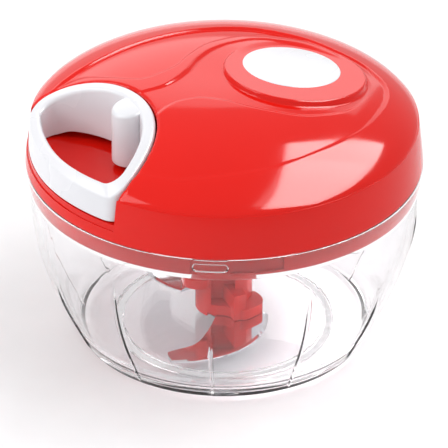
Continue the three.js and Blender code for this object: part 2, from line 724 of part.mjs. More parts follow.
function reelCap() {
  const spigotHole = DRUM_RADIUS - BUSH_WALL + RUN_GAP;
  const shelf = grooveTop + REEL_CAP_SPIGOT / 2 + RUN_GAP;
  const low = grooveTop + RUN_GAP;
  const top = reelTop + RUN_GAP;
  const bore = AXLE_RADIUS + RUN_GAP + RUN_GAP;
  const profile = [
    [spigotHole, low],
    [REEL_FLANGE_RADIUS, low],
    [REEL_FLANGE_RADIUS, top],
    [bore, top],
    [bore, shelf],
    [spigotHole, shelf],
  ];
  return revolve(profile, MIDDLE_SIDES);
}

function driveShaft() {
  const shoulder = plugBottom;
  const top = plugBottom + SEAT_GAP + TANG_LENGTH;
  const bar = hexBar(SHAFT_FLATS, shaftBottom, shoulder);
  return bar.add(hexBar(TANG_FLATS, shoulder - EMBED, top));
}

// A closed tube or strip whose section is carried along a list of frames.
function sweep(frames, section) {
  const places = [];
  const faces = [];
  const count = section.length;
  for (const { at, out, up } of frames) {
    for (const [u, v] of section) {
      const p = at.clone().addScaledVector(out, u).addScaledVector(up, v);
      places.push(p.x, p.y, p.z);
    }
  }
  const last = (frames.length - 1) * count;
  for (let i = 0; i < frames.length - 1; i++) {
    for (let k = 0; k < count; k++) {
      const a = i * count + k;
      const b = i * count + ((k + 1) % count);
      faces.push(a, b, b + count, a, b + count, a + count);
    }
  }
  for (let k = 1; k < count - 1; k++) {
    faces.push(0, k + 1, k);
    faces.push(last, last + k, last + k + 1);
  }
  const geometry = new THREE.BufferGeometry();
  geometry.setAttribute("position", new THREE.Float32BufferAttribute(places, 3));
  geometry.setIndex(faces);
  const body = solid(geometry);
  return body.volume() > 0 ? body : solid(turned(geometry));
}

// The same faces, wound the other way.
function turned(geometry) {
  const index = [...geometry.index.array];
  const copy = geometry.clone();
  const flipped = [];
  for (let i = 0; i < index.length; i += 3) flipped.push(index[i], index[i + 2], index[i + 1]);
  copy.setIndex(flipped);
  return copy;
}

function roundSection(radius, sides) {
  return Array.from({ length: sides }, (_, i) => {
    const angle = (i * 2 * Math.PI) / sides;
    return [radius * Math.cos(angle), radius * Math.sin(angle)];
  });
}

// Frames along a list of points near one level: out is level, and up completes the frame.
function framesAlong(points) {
  return points.map((at, i) => {
    const ahead = points[Math.min(i + 1, points.length - 1)];
    const behind = points[Math.max(i - 1, 0)];
    const along = ahead.clone().sub(behind).normalize();
    const out = along.clone().cross(new THREE.Vector3(0, 0, 1)).normalize();
    const up = out.clone().cross(along).normalize();
    return { at, out, up };
  });
}

// Where the cord leaves the drum, as an angle.
function cordExit() {
  return -Math.PI / 2 - Math.acos(outerPath / cordCorner);
}

// The wound cord: one layer up the drum, a climb, and one layer down on top of it.
function windingPoints() {
  const turns = 2 * CORD_LAYER_TURNS + CORD_CLIMB_TURNS;
  const steps = Math.round(turns * CORD_STEPS);
  const first = cordExit() - turns * 2 * Math.PI;
  const points = [];
  for (let i = 0; i <= steps; i++) {
    const turn = i / CORD_STEPS;
    const climb = THREE.MathUtils.clamp((turn - CORD_LAYER_TURNS) / CORD_CLIMB_TURNS, 0, 1);
    const down = Math.max(turn - CORD_LAYER_TURNS - CORD_CLIMB_TURNS, 0);
    const level = Math.min(turn, CORD_LAYER_TURNS) - down;
    const pitch = (GROOVE_WIDTH - 2 * CORD_RADIUS - 2 * RUN_GAP) / CORD_LAYER_TURNS;
    const radius = drumPath + CORD_PITCH * climb;
    const angle = first + turn * 2 * Math.PI;
    points.push(
      new THREE.Vector3(
        radius * Math.cos(angle),
        radius * Math.sin(angle),
        cordHeight + pitch * level,
      ),
    );
  }
  return points;
}

// Least gap between two stretches of a wound form, skipping neighbours along it.
function leastGap(points, thickness, skip) {
  let least = Infinity;
  for (let i = 0; i < points.length; i++) {
    for (let k = i + skip; k < points.length; k++) {
      least = Math.min(least, points[i].distanceTo(points[k]));
    }
  }
  return least - thickness;
}

function cordWinding() {
  const points = windingPoints();
  const gap = leastGap(points, 2 * CORD_RADIUS, CORD_STEPS / 2);
  const length = points.slice(1).reduce((sum, p, i) => sum + p.distanceTo(points[i]), 0);
  console.log(`cord winding: least gap ${gap.toFixed(2)} mm, length ${length.toFixed(0)} mm`);
  return sweep(framesAlong(points), roundSection(CORD_RADIUS, CORD_SIDES));
}

function cordLead() {
  const angle = cordExit();
  const start = new THREE.Vector3(outerPath * Math.cos(angle), outerPath * Math.sin(angle), 0);
  const along = new THREE.Vector3(-Math.sin(angle), Math.cos(angle), 0);
  start.addScaledVector(along, SEAT_GAP);
  const corner = new THREE.Vector3(0, -cordCorner, 0);
  const end = new THREE.Vector3(0, -noseReach - KNOT_INSET + KNOT_RADIUS + SEAT_GAP, 0);
  const bend = new THREE.QuadraticBezierCurve3(
    corner.clone().addScaledVector(along, -CORD_BEND),
    corner,
    corner.clone().add(new THREE.Vector3(0, -CORD_BEND, 0)),
  );
  const points = [start, ...bend.getPoints(CORD_LEAD_SIDES), end];
  const middle = start.clone().lerp(points[1], 1 / 2);
  points.splice(1, 0, middle);
  points.forEach((p) => p.setZ(cordHeight));
  return sweep(framesAlong(points), roundSection(CORD_RADIUS, CORD_LEAD_SIDES));
}

function cordKnot() {
  const knot = new THREE.SphereGeometry(KNOT_RADIUS, SMALL_SIDES, SMALL_SIDES / 2);
  return solid(knot.translate(0, -noseReach - KNOT_INSET, cordHeight));
}

function eyeletRadius() {
  return CORD_RADIUS + 2 * RUN_GAP + EYELET_WALL;
}

function cordEyelet() {
  const outside = -noseReach + RECESS_GAP;
  const flangeRadius = eyeletRadius() + EYELET_FLANGE_WIDTH;
  const sleeve = crossBar(eyeletRadius(), outside, -eyeletFace, cordHeight);
  const flange = crossBar(flangeRadius, -eyeletSeat + SEAT_GAP, -eyeletFace, cordHeight);
  const bore = CORD_RADIUS + 2 * RUN_GAP;
  const hole = crossBar(bore, outside - OVERRUN, -eyeletFace + OVERRUN, cordHeight);
  return sleeve.add(flange).subtract(hole);
}

function recoilSpring() {
  const inner = ARBOR_RADIUS + RUN_GAP + SPRING_STRIP / 2;
  const outer = CUP_RADIUS - RUN_GAP - SPRING_STRIP / 2;
  const steps = SPRING_TURNS * SPRING_STEPS;
  const height = springBottom + SPRING_WIDTH / 2;
  const points = [];
  for (let i = 0; i <= steps; i++) {
    const angle = (i * 2 * Math.PI) / SPRING_STEPS;
    const radius = inner + ((outer - inner) * i) / steps;
    points.push(new THREE.Vector3(radius * Math.cos(angle), radius * Math.sin(angle), height));
  }
  const gap = leastGap(points, SPRING_STRIP, SPRING_STEPS / 2);
  console.log(`recoil spring: least gap ${gap.toFixed(2)} mm`);
  const half = [SPRING_STRIP / 2, SPRING_WIDTH / 2];
  const strip = sweep(framesAlong(points), [
    [-half[0], -half[1]],
    [half[0], -half[1]],
    [half[0], half[1]],
    [-half[0], half[1]],
  ]);
  const tails = [inner - SPRING_TAIL / 2, outer + SPRING_TAIL / 2].map((middle) => {
    const tail = block(SPRING_TAIL, SPRING_STRIP, height - half[1], height + half[1]);
    return solid(tail.translate(middle, 0, 0));
  });
  return join(strip, ...tails);
}

function handleRing() {
  const top = crownTop + OVERRUN;
  const outline = prism(lens(handleFront, noseRadius, HANDLE_CORNER), handleBottom, top);
  const opening = prism(
    lens(handleFront - RING_FRONT, noseRadius - RING_SIDE, HANDLE_CORNER),
    handleBottom - OVERRUN,
    top + OVERRUN,
  );
  const bossTop = crownHeight(noseReach) - BOSS_DROP;
  const boss = barrel(BOSS_RADIUS, handleBottom, bossTop, { y: -noseReach - BOSS_INSET });
  const body = outline.intersect(lidForm(0)).subtract(opening).add(boss.intersect(outline));
  const pocketTop = cordHeight + KNOT_RADIUS + SEAT_GAP;
  const pocket = barrel(KNOT_POCKET_RADIUS, handleBottom - OVERRUN, pocketTop, {
    y: -noseReach - KNOT_INSET,
    sides: SMALL_SIDES,
  });
  const hole = crossBar(
    CORD_HOLE_RADIUS,
    -noseReach - KNOT_INSET,
    -noseReach + OVERRUN,
    cordHeight,
  );
  return cut(body, pocket, hole);
}

function bladeHeight(level) {
  return firstBlade + level * BLADE_SPACING;
}

function bladeAngle(level) {
  return BLADE_ROOT_ANGLE + level * BLADE_TURN;
}

// Outline of one blade: the swept cutting edge, the tip, and the hollow back edge.
function bladeOutline(bevel) {
  const points = [];
  const polar = (radius, angle) => {
    points.push(new THREE.Vector2(radius * Math.cos(angle), radius * Math.sin(angle)));
  };
  for (let i = 0; i <= BLADE_STEPS; i++) {
    const share = i / BLADE_STEPS;
    const reach = bladeTip - BLADE_HEEL_RADIUS;
    const radius = BLADE_HEEL_RADIUS + reach * share ** BLADE_SWEEP_POWER;
    polar(radius - bevel, -BLADE_SWEEP * share);
  }
  BLADE_BACK_RADIUS_SHARES.forEach((share, i) => {
    polar(bladeTip * share, -BLADE_SWEEP * BLADE_BACK_ANGLE_SHARES[i]);
  });
  const grip = Array.from({ length: HEX_SIDES + 1 }, (_, i) => i / HEX_SIDES);
  grip.forEach((share) => polar(BLADE_GRIP_RADIUS, -BLADE_SWEEP * (1 - share)));
  return points.reverse();
}

// A blade is flat underneath and ground to an edge along its swept side.
function blade(level) {
  const full = bladeOutline(0);
  const ground = bladeOutline(BLADE_BEVEL);
  const low = bladeHeight(level);
  const places = [];
  full.forEach((p) => places.push(p.x, p.y, low));
  ground.forEach((p) => places.push(p.x, p.y, low + BLADE_THICKNESS));
  const count = full.length;
  const faces = [];
  THREE.ShapeUtils.triangulateShape(full, []).forEach(([a, b, c]) => {
    faces.push(a, c, b);
    faces.push(a + count, b + count, c + count);
  });
  for (let i = 0; i < count; i++) {
    const next = (i + 1) % count;
    faces.push(i, next, next + count, i, next + count, i + count);
  }
  const geometry = new THREE.BufferGeometry();
  geometry.setAttribute("position", new THREE.Float32BufferAttribute(places, 3));
  geometry.setIndex(faces);
  geometry.rotateZ(bladeAngle(level));
  const body = solid(geometry);
  return body.volume() > 0 ? body : solid(turned(geometry));
}

// Foot of the hub that lies on a blade's root and clamps it, with a post on its front.
function bladeShoe(level) {
  const low = bladeHeight(level) + BLADE_THICKNESS + RUN_GAP;
  const outline = new THREE.Shape();
  outline.setFromPoints([
    new THREE.Vector2(0, 0),
    ...SHOE_RADII.map((radius, i) => {
      const angle = bladeAngle(level) + THREE.MathUtils.degToRad(SHOE_DEGREES[i]);
      return new THREE.Vector2(radius * Math.cos(angle), radius * Math.sin(angle));
    }),
  ]);
  const post = block(POST_FACE_RADIUS, POST_FACE_WIDTH, low, low + POST_FACE_HEIGHT);
  post.translate(POST_FACE_RADIUS / 2, 0, 0).rotateZ(bladeAngle(level) + POST_FACE_LEAD);
  return prism(outline, low, low + SHOE_HEIGHT).add(solid(post));
}

// The slot that a blade's root lies in.
function bladeSlot(level) {
  const low = bladeHeight(level) - RUN_GAP;
  const high = bladeHeight(level) + BLADE_THICKNESS + RUN_GAP;
  const from = bladeAngle(level) - BLADE_SWEEP - SLOT_LEAD;
  const sector = wedge(bladeTip, from, bladeAngle(level) + SLOT_LEAD);
  return prism(sector, low, high).subtract(barrel(HUB_CORE_RADIUS, 0, hubTop));
}

// A cored-out pocket in the hub's side, above a blade's clamp.
function hubPocket(level) {
  const low = bladeHeight(level) + BLADE_THICKNESS + RUN_GAP + SHOE_HEIGHT;
  const depth = HUB_RADIUS - HUB_CORE_RADIUS + OVERRUN;
  const pocket = block(depth, POCKET_WIDTH, low, low + POCKET_HEIGHT);
  pocket.translate(HUB_CORE_RADIUS + depth / 2, 0, 0);
  return solid(pocket.rotateZ(bladeAngle(level) + POCKET_LEAD));
}

function bladeHub() {
  const levels = Array.from({ length: BLADE_COUNT }, (_, i) => i);
  const foot = barrel(HUB_FOOT_RADIUS, hubBottom, firstBlade, { sides: MIDDLE_SIDES });
  const body = barrel(HUB_RADIUS, firstBlade - EMBED, hubTop);
  const column = cut(body, ...levels.map(hubPocket));
  const whole = join(foot, column, ...levels.map(bladeShoe));
  const underside = ring(bladeTip, HUB_FOOT_RADIUS, 0, firstBlade);
  const boreTop = pinBossTop - PIN_DEPTH + PIN_LENGTH + BORE_END;
  const bore = barrel(PIN_RADIUS + RUN_GAP, 0, boreTop, { sides: SMALL_SIDES });
  const socket = hexBar(SHAFT_FLATS + 2 * SOCKET_GAP, shaftBottom - SEAT_GAP, hubTop + OVERRUN);
  const slots = levels.map(bladeSlot);
  return cut(whole, underside, bore, socket, ...slots);
}

const plastic = (color, roughness) => new THREE.MeshStandardMaterial({ color, roughness });
const metal = (color, roughness) =>
  new THREE.MeshStandardMaterial({ color, roughness, metalness: 1 });
const clearPlastic = new THREE.MeshStandardMaterial({
  color: 0xeef2f5,
  roughness: 0.05,
  transparent: true,
  opacity: 0.3,
});
const redPlastic = plastic(0xd9140f, 0.2);
const whitePlastic = plastic(0xf6f6f8, 0.3);
const naturalPlastic = plastic(0xe8e6de, 0.45);
const steel = metal(0xc9ccd0, 0.25);
const springSteel = metal(0x8d949c, 0.35);
const bronze = metal(0xb08a4a, 0.4);
const cordFibre = plastic(0xf2f2ee, 0.8);

const part = new THREE.Group();

function place(name, body, material) {
  const mesh = new THREE.Mesh(geometryOf(body), material.clone());
  mesh.name = name;
  part.add(mesh);
}

place("bowl", bowl(), clearPlastic);
place("bowl_pin", bowlPin(), steel);
place("blade_hub", bladeHub(), redPlastic);
["lower_blade", "middle_blade", "upper_blade"].forEach((name, level) => {
  place(name, blade(level), steel);
});
place("lid_cover", lidCover(), redPlastic);
place("lid_disc", whiteDisc(), whitePlastic);
place("lid_base", lidBase(), redPlastic);
aroundPosts(screw).forEach((body, i) => place(`lid_screw_${i + 1}`, body, steel));
place("reel_axle", axle(), steel);
place("drive_bush", bush(), bronze);
place("cord_reel", reel(), naturalPlastic);
place("reel_cap", reelCap(), naturalPlastic);
place("drive_shaft", driveShaft(), steel);
place("recoil_spring", recoilSpring(), springSteel);
place("spring_cover", cupCover(), naturalPlastic);
place("cord_winding", cordWinding(), cordFibre);
place("cord_lead", cordLead(), cordFibre);
place("cord_knot", cordKnot(), cordFibre);
place("cord_eyelet", cordEyelet(), steel);
place("handle_ring", handleRing(), whitePlastic);

export default part;
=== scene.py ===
"""A pull-cord food chopper on a white table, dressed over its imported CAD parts.

Lengths are in metres in the part's own frame: Z is up from the ground, the bowl's axis is at
X = Y = 0, and the ring handle is pulled towards -Y. The pieces follow in the order in which the
chopper is put together: bowl, cutter, lid base, reel and spring, cord, cover, disc and handle.
"""

import math

import bmesh
import bpy
import numpy as np
from mathutils import Matrix, Quaternion, Vector


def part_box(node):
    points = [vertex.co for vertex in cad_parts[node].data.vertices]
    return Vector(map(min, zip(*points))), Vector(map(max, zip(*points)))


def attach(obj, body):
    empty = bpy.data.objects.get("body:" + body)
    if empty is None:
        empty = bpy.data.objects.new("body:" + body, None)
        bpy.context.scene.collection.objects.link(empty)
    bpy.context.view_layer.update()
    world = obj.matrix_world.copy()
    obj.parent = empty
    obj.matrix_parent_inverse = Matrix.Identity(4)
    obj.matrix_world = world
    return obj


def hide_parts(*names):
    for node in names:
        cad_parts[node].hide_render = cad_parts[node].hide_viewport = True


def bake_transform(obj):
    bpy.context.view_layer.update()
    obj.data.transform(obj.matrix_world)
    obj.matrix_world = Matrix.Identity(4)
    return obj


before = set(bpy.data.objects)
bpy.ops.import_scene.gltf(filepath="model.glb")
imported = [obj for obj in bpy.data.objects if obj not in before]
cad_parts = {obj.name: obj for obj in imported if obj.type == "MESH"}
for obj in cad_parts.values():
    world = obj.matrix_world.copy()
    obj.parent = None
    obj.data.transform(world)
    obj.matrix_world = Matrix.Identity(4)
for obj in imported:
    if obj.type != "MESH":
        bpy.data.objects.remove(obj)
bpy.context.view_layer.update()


# Camera
# The photograph was taken from well back with a long lens, looking down on the lid from the
# handle's right, with the camera turned a quarter of a degree.
VIEW_AZIMUTH = 64.0
VIEW_ELEVATION = 31.0
VIEW_ROLL = 0.28
VIEW_DISTANCE = 1.5625
VIEW_AIM = Vector((0, 0, 0.0369))
VIEW_LENS = 396.25


def linked(name, data):
    """A new object in the scene that carries a camera, a lamp or a mesh."""
    holder = bpy.data.objects.new(name, data)
    bpy.context.scene.collection.objects.link(holder)
    return holder


def aimed(name, data, azimuth, elevation, distance, roll=0.0):
    """A camera or lamp that faces the chopper. Angles are in degrees, and azimuth 0 looks to +Y."""
    azimuth, elevation = math.radians(azimuth), math.radians(elevation)
    level = math.cos(elevation)
    away = Vector((math.sin(azimuth) * level, -math.cos(azimuth) * level, math.sin(elevation)))
    holder = linked(name, data)
    holder.location = VIEW_AIM + away * distance
    holder.rotation_mode = "QUATERNION"
    turn = Quaternion((0, 0, 1), math.radians(roll))
    holder.rotation_quaternion = (-away).to_track_quat("-Z", "Y") @ turn
    return holder


view = bpy.data.cameras.new("camera")
view.lens = VIEW_LENS
view.sensor_width = 36
view.clip_start = 0.05
view.clip_end = 20
bpy.context.scene.camera = aimed(
    "camera", view, VIEW_AZIMUTH, VIEW_ELEVATION, VIEW_DISTANCE, VIEW_ROLL
)


# Clear bowl
# One injection moulding in clear plastic: foot ring, floor, a wall that bellies out to a straight
# collar, twelve fine upright ribs on its outside, and three locking bars inside its mouth. A node
# tree raises the ribs and the bars from the turned wall, so that the clear body stays whole.
MM = 0.001
bowl_low, bowl_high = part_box("bowl")
RIM_RADIUS = bowl_high.x
RIM_HEIGHT = bowl_high.z
RIM_ROUND = 0.4 * MM
NECK_RADIUS = RIM_RADIUS - 1.4 * MM
BOWL_WALL = 2.4 * MM
MOUTH_RADIUS = NECK_RADIUS - BOWL_WALL
COLLAR_HEIGHT = 7 * MM
COLLAR_STEP = 0.6 * MM
BASE_RADIUS = 46.4 * MM
BASE_LIFT = 1.6 * MM
BASE_ROUND = 0.8 * MM
FOOT_RADIUS = 35.5 * MM
FOOT_WIDTH = 3 * MM
FLOOR_TOP = 4.4 * MM
INNER_CORNER = 5 * MM
PIN_BOSS_RADIUS = 4.5 * MM
PIN_BOSS_TOP = 6.0 * MM
PIN_HOLE_RADIUS = 2.2 * MM
PIN_DEPTH = 3.6 * MM
RIB_COUNT = 12
RIB_WIDTH = 1.5 * MM
RIB_PROUD = 0.5 * MM
LONG_RIB_TOP = 0.9
SHORT_RIB_TOP = 0.6
BAR_COUNT = 3
BAR_ANGLE = math.radians(-30)
BAR_LENGTH = 11 * MM
BAR_HEIGHT = 2.6 * MM
BAR_PROUD = 1.1 * MM
BAR_DROP = 2.7 * MM
BAR_EDGE = 0.35 * MM
BAR_LEVEL = RIM_HEIGHT - BAR_DROP - BAR_HEIGHT / 2
FULL_TURN = np.arange(192) * math.pi / 96
DRIFT_SCALE = 45.0
SKIN_SCALE = 900.0
SKIN_DEPTH = 0.02 * MM

# Control points of the wall's curve, as shares of the way out to the neck and up to the collar
WALL_CURVE = [(0, 0), (0.5, 0.295), (1.05, 0.543), (1, 1)]
WALL_STEPS = 44

# Millimetres off the middle of a rib or a bar, and below the rim, at which points stand
RIB_OFFSETS = [0, 0.12, 0.3, 0.45, 0.57, 0.66, 0.72, 0.76, 0.9, 1.4, 2.4]
BAR_OFFSETS = np.arange(2.6, 6.4, 0.16)
MOUTH_ROWS = [0.6, 1.2, 1.8, *np.arange(2.3, 5.8, 0.16), 6.3, 6.7, 7]


def polar(radius, angle, centre=(0, 0)):
    """A point at a distance and an angle from a centre."""
    return (centre[0] + radius * math.cos(angle), centre[1] + radius * math.sin(angle))


def mesh_from(points, faces):
    """A closed mesh whose faces all point outwards."""
    mesh = bpy.data.meshes.new("part")
    mesh.from_pydata([tuple(p) for p in points], [], faces)
    body = bmesh.new()
    body.from_mesh(mesh)
    bmesh.ops.recalc_face_normals(body, faces=body.faces)
    body.to_mesh(mesh)
    body.free()
    return mesh


def rounded(corners, steps=5):
    """A flat profile from (x, y) corners, with an arc at each corner given as (x, y, radius)."""
    places = [Vector(corner[:2]) for corner in corners]
    result = []
    for i, (here, corner) in enumerate(zip(places, corners)):
        if len(corner) == 2:
            result.append(tuple(here))
            continue
        radius = corner[2]
        before = (places[i - 1] - here).normalized()
        after = (places[(i + 1) % len(places)] - here).normalized()
        half = before.angle(after) / 2
        reach = radius / math.tan(half)
        centre = here + (before + after).normalized() * (radius / math.sin(half))
        start = here + before * reach - centre
        end = here + after * reach - centre
        first = math.atan2(start.y, start.x)
        turn = (math.atan2(end.y, end.x) - first + math.pi) % (2 * math.pi) - math.pi
        result += [polar(radius, first + turn * k / steps, centre) for k in range(steps + 1)]
    return result


def turned(profile, angles=FULL_TURN, centre=(0, 0)):
    """A closed mesh turned round an upright axis from (radius, height) points. The profile starts
    and ends on the axis, or is a loop."""
    count = len(angles)
    points, rings, faces = [], [], []
    for radius, z in profile:
        rings.append([len(points) + (k if radius else 0) for k in range(count)])
        points += [(*polar(radius, a, centre), z) for a in (angles if radius else (0,))]
    if profile[0][0]:
        rings.append(rings[0])
    for low, high in zip(rings, rings[1:]):
        for k in range(count):
            m = (k + 1) % count
            face = tuple(dict.fromkeys((low[k], low[m], high[m], high[k])))
            if len(face) > 2:
                faces.append(face)
    return mesh_from(points, faces)


def new_tree(name, inputs):
    """An empty node tree that takes a mesh and named inputs, and gives a mesh."""
    tree = bpy.data.node_groups.new(name, "GeometryNodeTree")
    tree.interface.new_socket("Mesh", in_out="INPUT", socket_type="NodeSocketGeometry")
    for label in inputs:
        tree.interface.new_socket(label, in_out="INPUT", socket_type="NodeSocketFloat")
    tree.interface.new_socket("Material", in_out="INPUT", socket_type="NodeSocketMaterial")
    tree.interface.new_socket("Mesh", in_out="OUTPUT", socket_type="NodeSocketGeometry")
    return tree, tree.nodes.new("NodeGroupInput").outputs


def fill(tree, socket, value):
    """Links another node's output to an input, or sets the input's value."""
    if isinstance(value, bpy.types.NodeSocket):
        tree.links.new(value, socket)
    else:
        socket.default_value = value


def step(tree, kind, *values, output=0, **settings):
    """Adds a node and returns an output. Values fill its inputs in order. A setting in capitals
    fills the input of that name, and any other is set on the node."""
    node = tree.nodes.new(kind)
    for key, value in settings.items():
        if key[0].isupper():
            fill(tree, node.inputs[key.replace("_", " ")], value)
        else:
            setattr(node, key, value)
    for socket, value in zip([s for s in node.inputs if s.enabled], values):
        fill(tree, socket, value)
    if isinstance(output, str):
        return node.outputs[output]
    return [s for s in node.outputs if s.enabled][output]


def maths_in(tree):
    """A short way to add maths nodes to a tree."""
    return lambda operation, *values: step(tree, "ShaderNodeMath", *values, operation=operation)


def close_tree(tree, given, geometry):
    """Ends a tree in real geometry that carries the given material."""
    real = step(tree, "GeometryNodeRealizeInstances", geometry)
    painted = step(tree, "GeometryNodeSetMaterial", real, Material=given["Material"])
    tree.links.new(painted, tree.nodes.new("NodeGroupOutput").inputs["Mesh"])
    return tree


def baked(carrier, *helpers):
    """The plain mesh that an object's modifiers make of it. The object and its helpers go."""
    bpy.context.view_layer.update()
    evaluated = carrier.evaluated_get(bpy.context.evaluated_depsgraph_get())
    result = bpy.data.meshes.new_from_object(evaluated)
    for used in (carrier, *helpers):
        bpy.data.objects.remove(used)
    return result


def grown(mesh, tree, material, **sizes):
    """The plain mesh that a node tree makes of another mesh and sizes named as its inputs are."""
    carrier = linked("carrier", mesh)
    modifier = carrier.modifiers.new("tree", "NODES")
    modifier.node_group = tree
    values = {key.replace("_", " "): value for key, value in sizes.items()}
    values["Material"] = material
    for socket in tree.interface.items_tree:
        if socket.in_out == "INPUT" and socket.name in values:
            modifier[socket.identifier] = values[socket.name]
    return baked(carrier)


def finish_mesh(name, mesh, body, material, replaced, angle=30):
    """Makes a mesh a piece of the chopper that rides on a body and stands for CAD nodes."""
    mesh.name = name
    mesh.shade_smooth()
    mesh.set_sharp_from_angle(angle=math.radians(angle))
    piece = linked(name, mesh)
    mesh.materials.clear()
    mesh.materials.append(material)
    if body:
        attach(piece, body)
    if replaced:
        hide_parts(*replaced)
    return piece


def embossed(tree, height, strength, distance):
    """Lets a texture raise the surface of a finish."""
    bump = step(tree, "ShaderNodeBump", Strength=strength, Distance=distance, Height=height)
    fill(tree, tree.nodes["Principled BSDF"].inputs["Normal"], bump)


def moulded(name, color, roughness, wear, grain, **inputs):
    """A finish with slight drifts of tone and gloss and a fine skin, from noise on the piece."""
    material = bpy.data.materials.new(name)
    material.use_nodes = True
    tree = material.node_tree
    place = step(tree, "ShaderNodeTexCoord", output="Object")
    drift = step(tree, "ShaderNodeTexNoise", place, Scale=DRIFT_SCALE)
    gloss = step(tree, "ShaderNodeMapRange", drift, 0.35, 0.65, roughness, roughness + wear)
    tone = step(tree, "ShaderNodeValToRGB", drift)
    for stop, position, share in zip(tone.node.color_ramp.elements, (0.3, 0.7), (0.97, 1)):
        stop.position = position
        stop.color = (*[c * share for c in color], 1)
    for key, value in {**inputs, "Roughness": gloss, "Base_Color": tone}.items():
        fill(tree, tree.nodes["Principled BSDF"].inputs[key.replace("_", " ")], value)
    if grain:
        skin = step(tree, "ShaderNodeTexNoise", place, Scale=SKIN_SCALE)
        embossed(tree, skin, grain, SKIN_DEPTH)
    return material


def lamps_pass(material, color):
    """Lets lamps shine through a clear finish instead of leaving a black shadow behind it."""
    tree = material.node_tree
    shadow = step(tree, "ShaderNodeLightPath", output="Is Shadow Ray")
    solid = tree.nodes["Principled BSDF"].outputs["BSDF"]
    tinted = step(tree, "ShaderNodeBsdfTransparent", (*color, 1))
    mixed = step(tree, "ShaderNodeMixShader", shadow, solid, tinted)
    fill(tree, tree.nodes["Material Output"].inputs["Surface"], mixed)


clear_plastic = moulded(
    "clear_plastic", (0.99, 0.988, 0.995), 0.0, 0.02, 0,
    IOR=1.46, Specular_IOR_Level=0.15, Transmission_Weight=1.0,
)
lamps_pass(clear_plastic, (0.95, 0.945, 0.955))


def wall_point(t):
    """A point on the outer curve of the bowl's wall, from the base's corner to the neck."""
    low = BASE_LIFT + BASE_ROUND
    rise = RIM_HEIGHT - COLLAR_HEIGHT - COLLAR_STEP - low
    spread = NECK_RADIUS - BASE_RADIUS
    p = [Vector((BASE_RADIUS + out * spread, low + up * rise)) for out, up in WALL_CURVE]
    s = 1 - t
    return p[0] * s**3 + p[1] * 3 * s * s * t + p[2] * 3 * s * t * t + p[3] * t**3


def bowl_profile():
    """The bowl's section, with each point's share of the way up the outer wall, or -1, and a mark
    that is 1 inside the mouth."""
    foot = rounded(
        [
            (FOOT_RADIUS - FOOT_WIDTH, BASE_LIFT),
            (FOOT_RADIUS - FOOT_WIDTH, bowl_low.z, 0.5 * MM),
            (FOOT_RADIUS, bowl_low.z, 0.5 * MM),
            (FOOT_RADIUS, BASE_LIFT),
        ]
    )
    collar = rounded(
        [
            (NECK_RADIUS + COLLAR_STEP, RIM_HEIGHT - COLLAR_HEIGHT),
            (RIM_RADIUS, RIM_HEIGHT - COLLAR_STEP, 0.3 * MM),
            (RIM_RADIUS - 0.1 * MM, RIM_HEIGHT, 0.3 * MM),
            (MOUTH_RADIUS + RIM_ROUND, RIM_HEIGHT),
            (MOUTH_RADIUS + 0.3 * RIM_ROUND, RIM_HEIGHT - 0.3 * RIM_ROUND),
        ],
        3,
    )
    boss = rounded(
        [
            (PIN_BOSS_RADIUS, FLOOR_TOP),
            (PIN_BOSS_RADIUS, PIN_BOSS_TOP, 0.4 * MM),
            (PIN_HOLE_RADIUS, PIN_BOSS_TOP, 0.2 * MM),
            (PIN_HOLE_RADIUS, PIN_BOSS_TOP - PIN_DEPTH),
        ],
        3,
    )
    under = [
        (0, BASE_LIFT),
        *foot,
        (BASE_RADIUS - 2 * MM, BASE_LIFT),
        (BASE_RADIUS - BASE_ROUND, BASE_LIFT),
        (BASE_RADIUS - 0.25 * BASE_ROUND, BASE_LIFT + 0.3 * BASE_ROUND),
    ]
    wall = [tuple(wall_point(i / WALL_STEPS)) for i in range(WALL_STEPS + 1)]
    mouth = [(MOUTH_RADIUS, RIM_HEIGHT - row * MM) for row in MOUTH_ROWS]
    inner = [(r - BOWL_WALL, z) for r, z in reversed(wall) if z > FLOOR_TOP + INNER_CORNER]
    bend = inner[-1][0] - INNER_CORNER
    for angle in np.arange(1, 9) * math.pi / 16:
        up = FLOOR_TOP + INNER_CORNER * (1 - math.sin(angle))
        inner.append((bend + INNER_CORNER * math.cos(angle), up))
    inner += [(PIN_BOSS_RADIUS + 6 * MM, FLOOR_TOP), *boss, (0, PIN_BOSS_TOP - PIN_DEPTH)]
    points, shares, marks = [], [], []
    for part, mark in ((under, 0.0), (wall, 0.0), (collar, 0.0), (mouth, 1.0), (inner, 0.0)):
        points += part
        shares += [i / WALL_STEPS if part is wall else -1.0 for i in range(len(part))]
        marks += [mark] * len(part)
    return points, shares, marks


def bowl_angles():
    """Angles round the bowl, close together where a rib or a locking bar stands."""
    angles = []
    for k in range(RIB_COUNT):
        middle = 2 * math.pi * k / RIB_COUNT
        for offset in RIB_OFFSETS:
            angles += [middle + side * offset * MM / NECK_RADIUS for side in (1, -1)]
        angles += [middle + math.pi * f / RIB_COUNT for f in np.arange(0.2, 1.8, 0.16)]
    for k in range(BAR_COUNT):
        middle = BAR_ANGLE + 2 * math.pi * k / BAR_COUNT
        for offset in BAR_OFFSETS:
            angles += [middle + side * offset * MM / MOUTH_RADIUS for side in (1, -1)]
    ordered = np.unique(np.round(np.mod(angles, 2 * math.pi), 6))
    return ordered[np.diff(np.append(ordered, ordered[0] + 2 * math.pi)) > 0.0012]


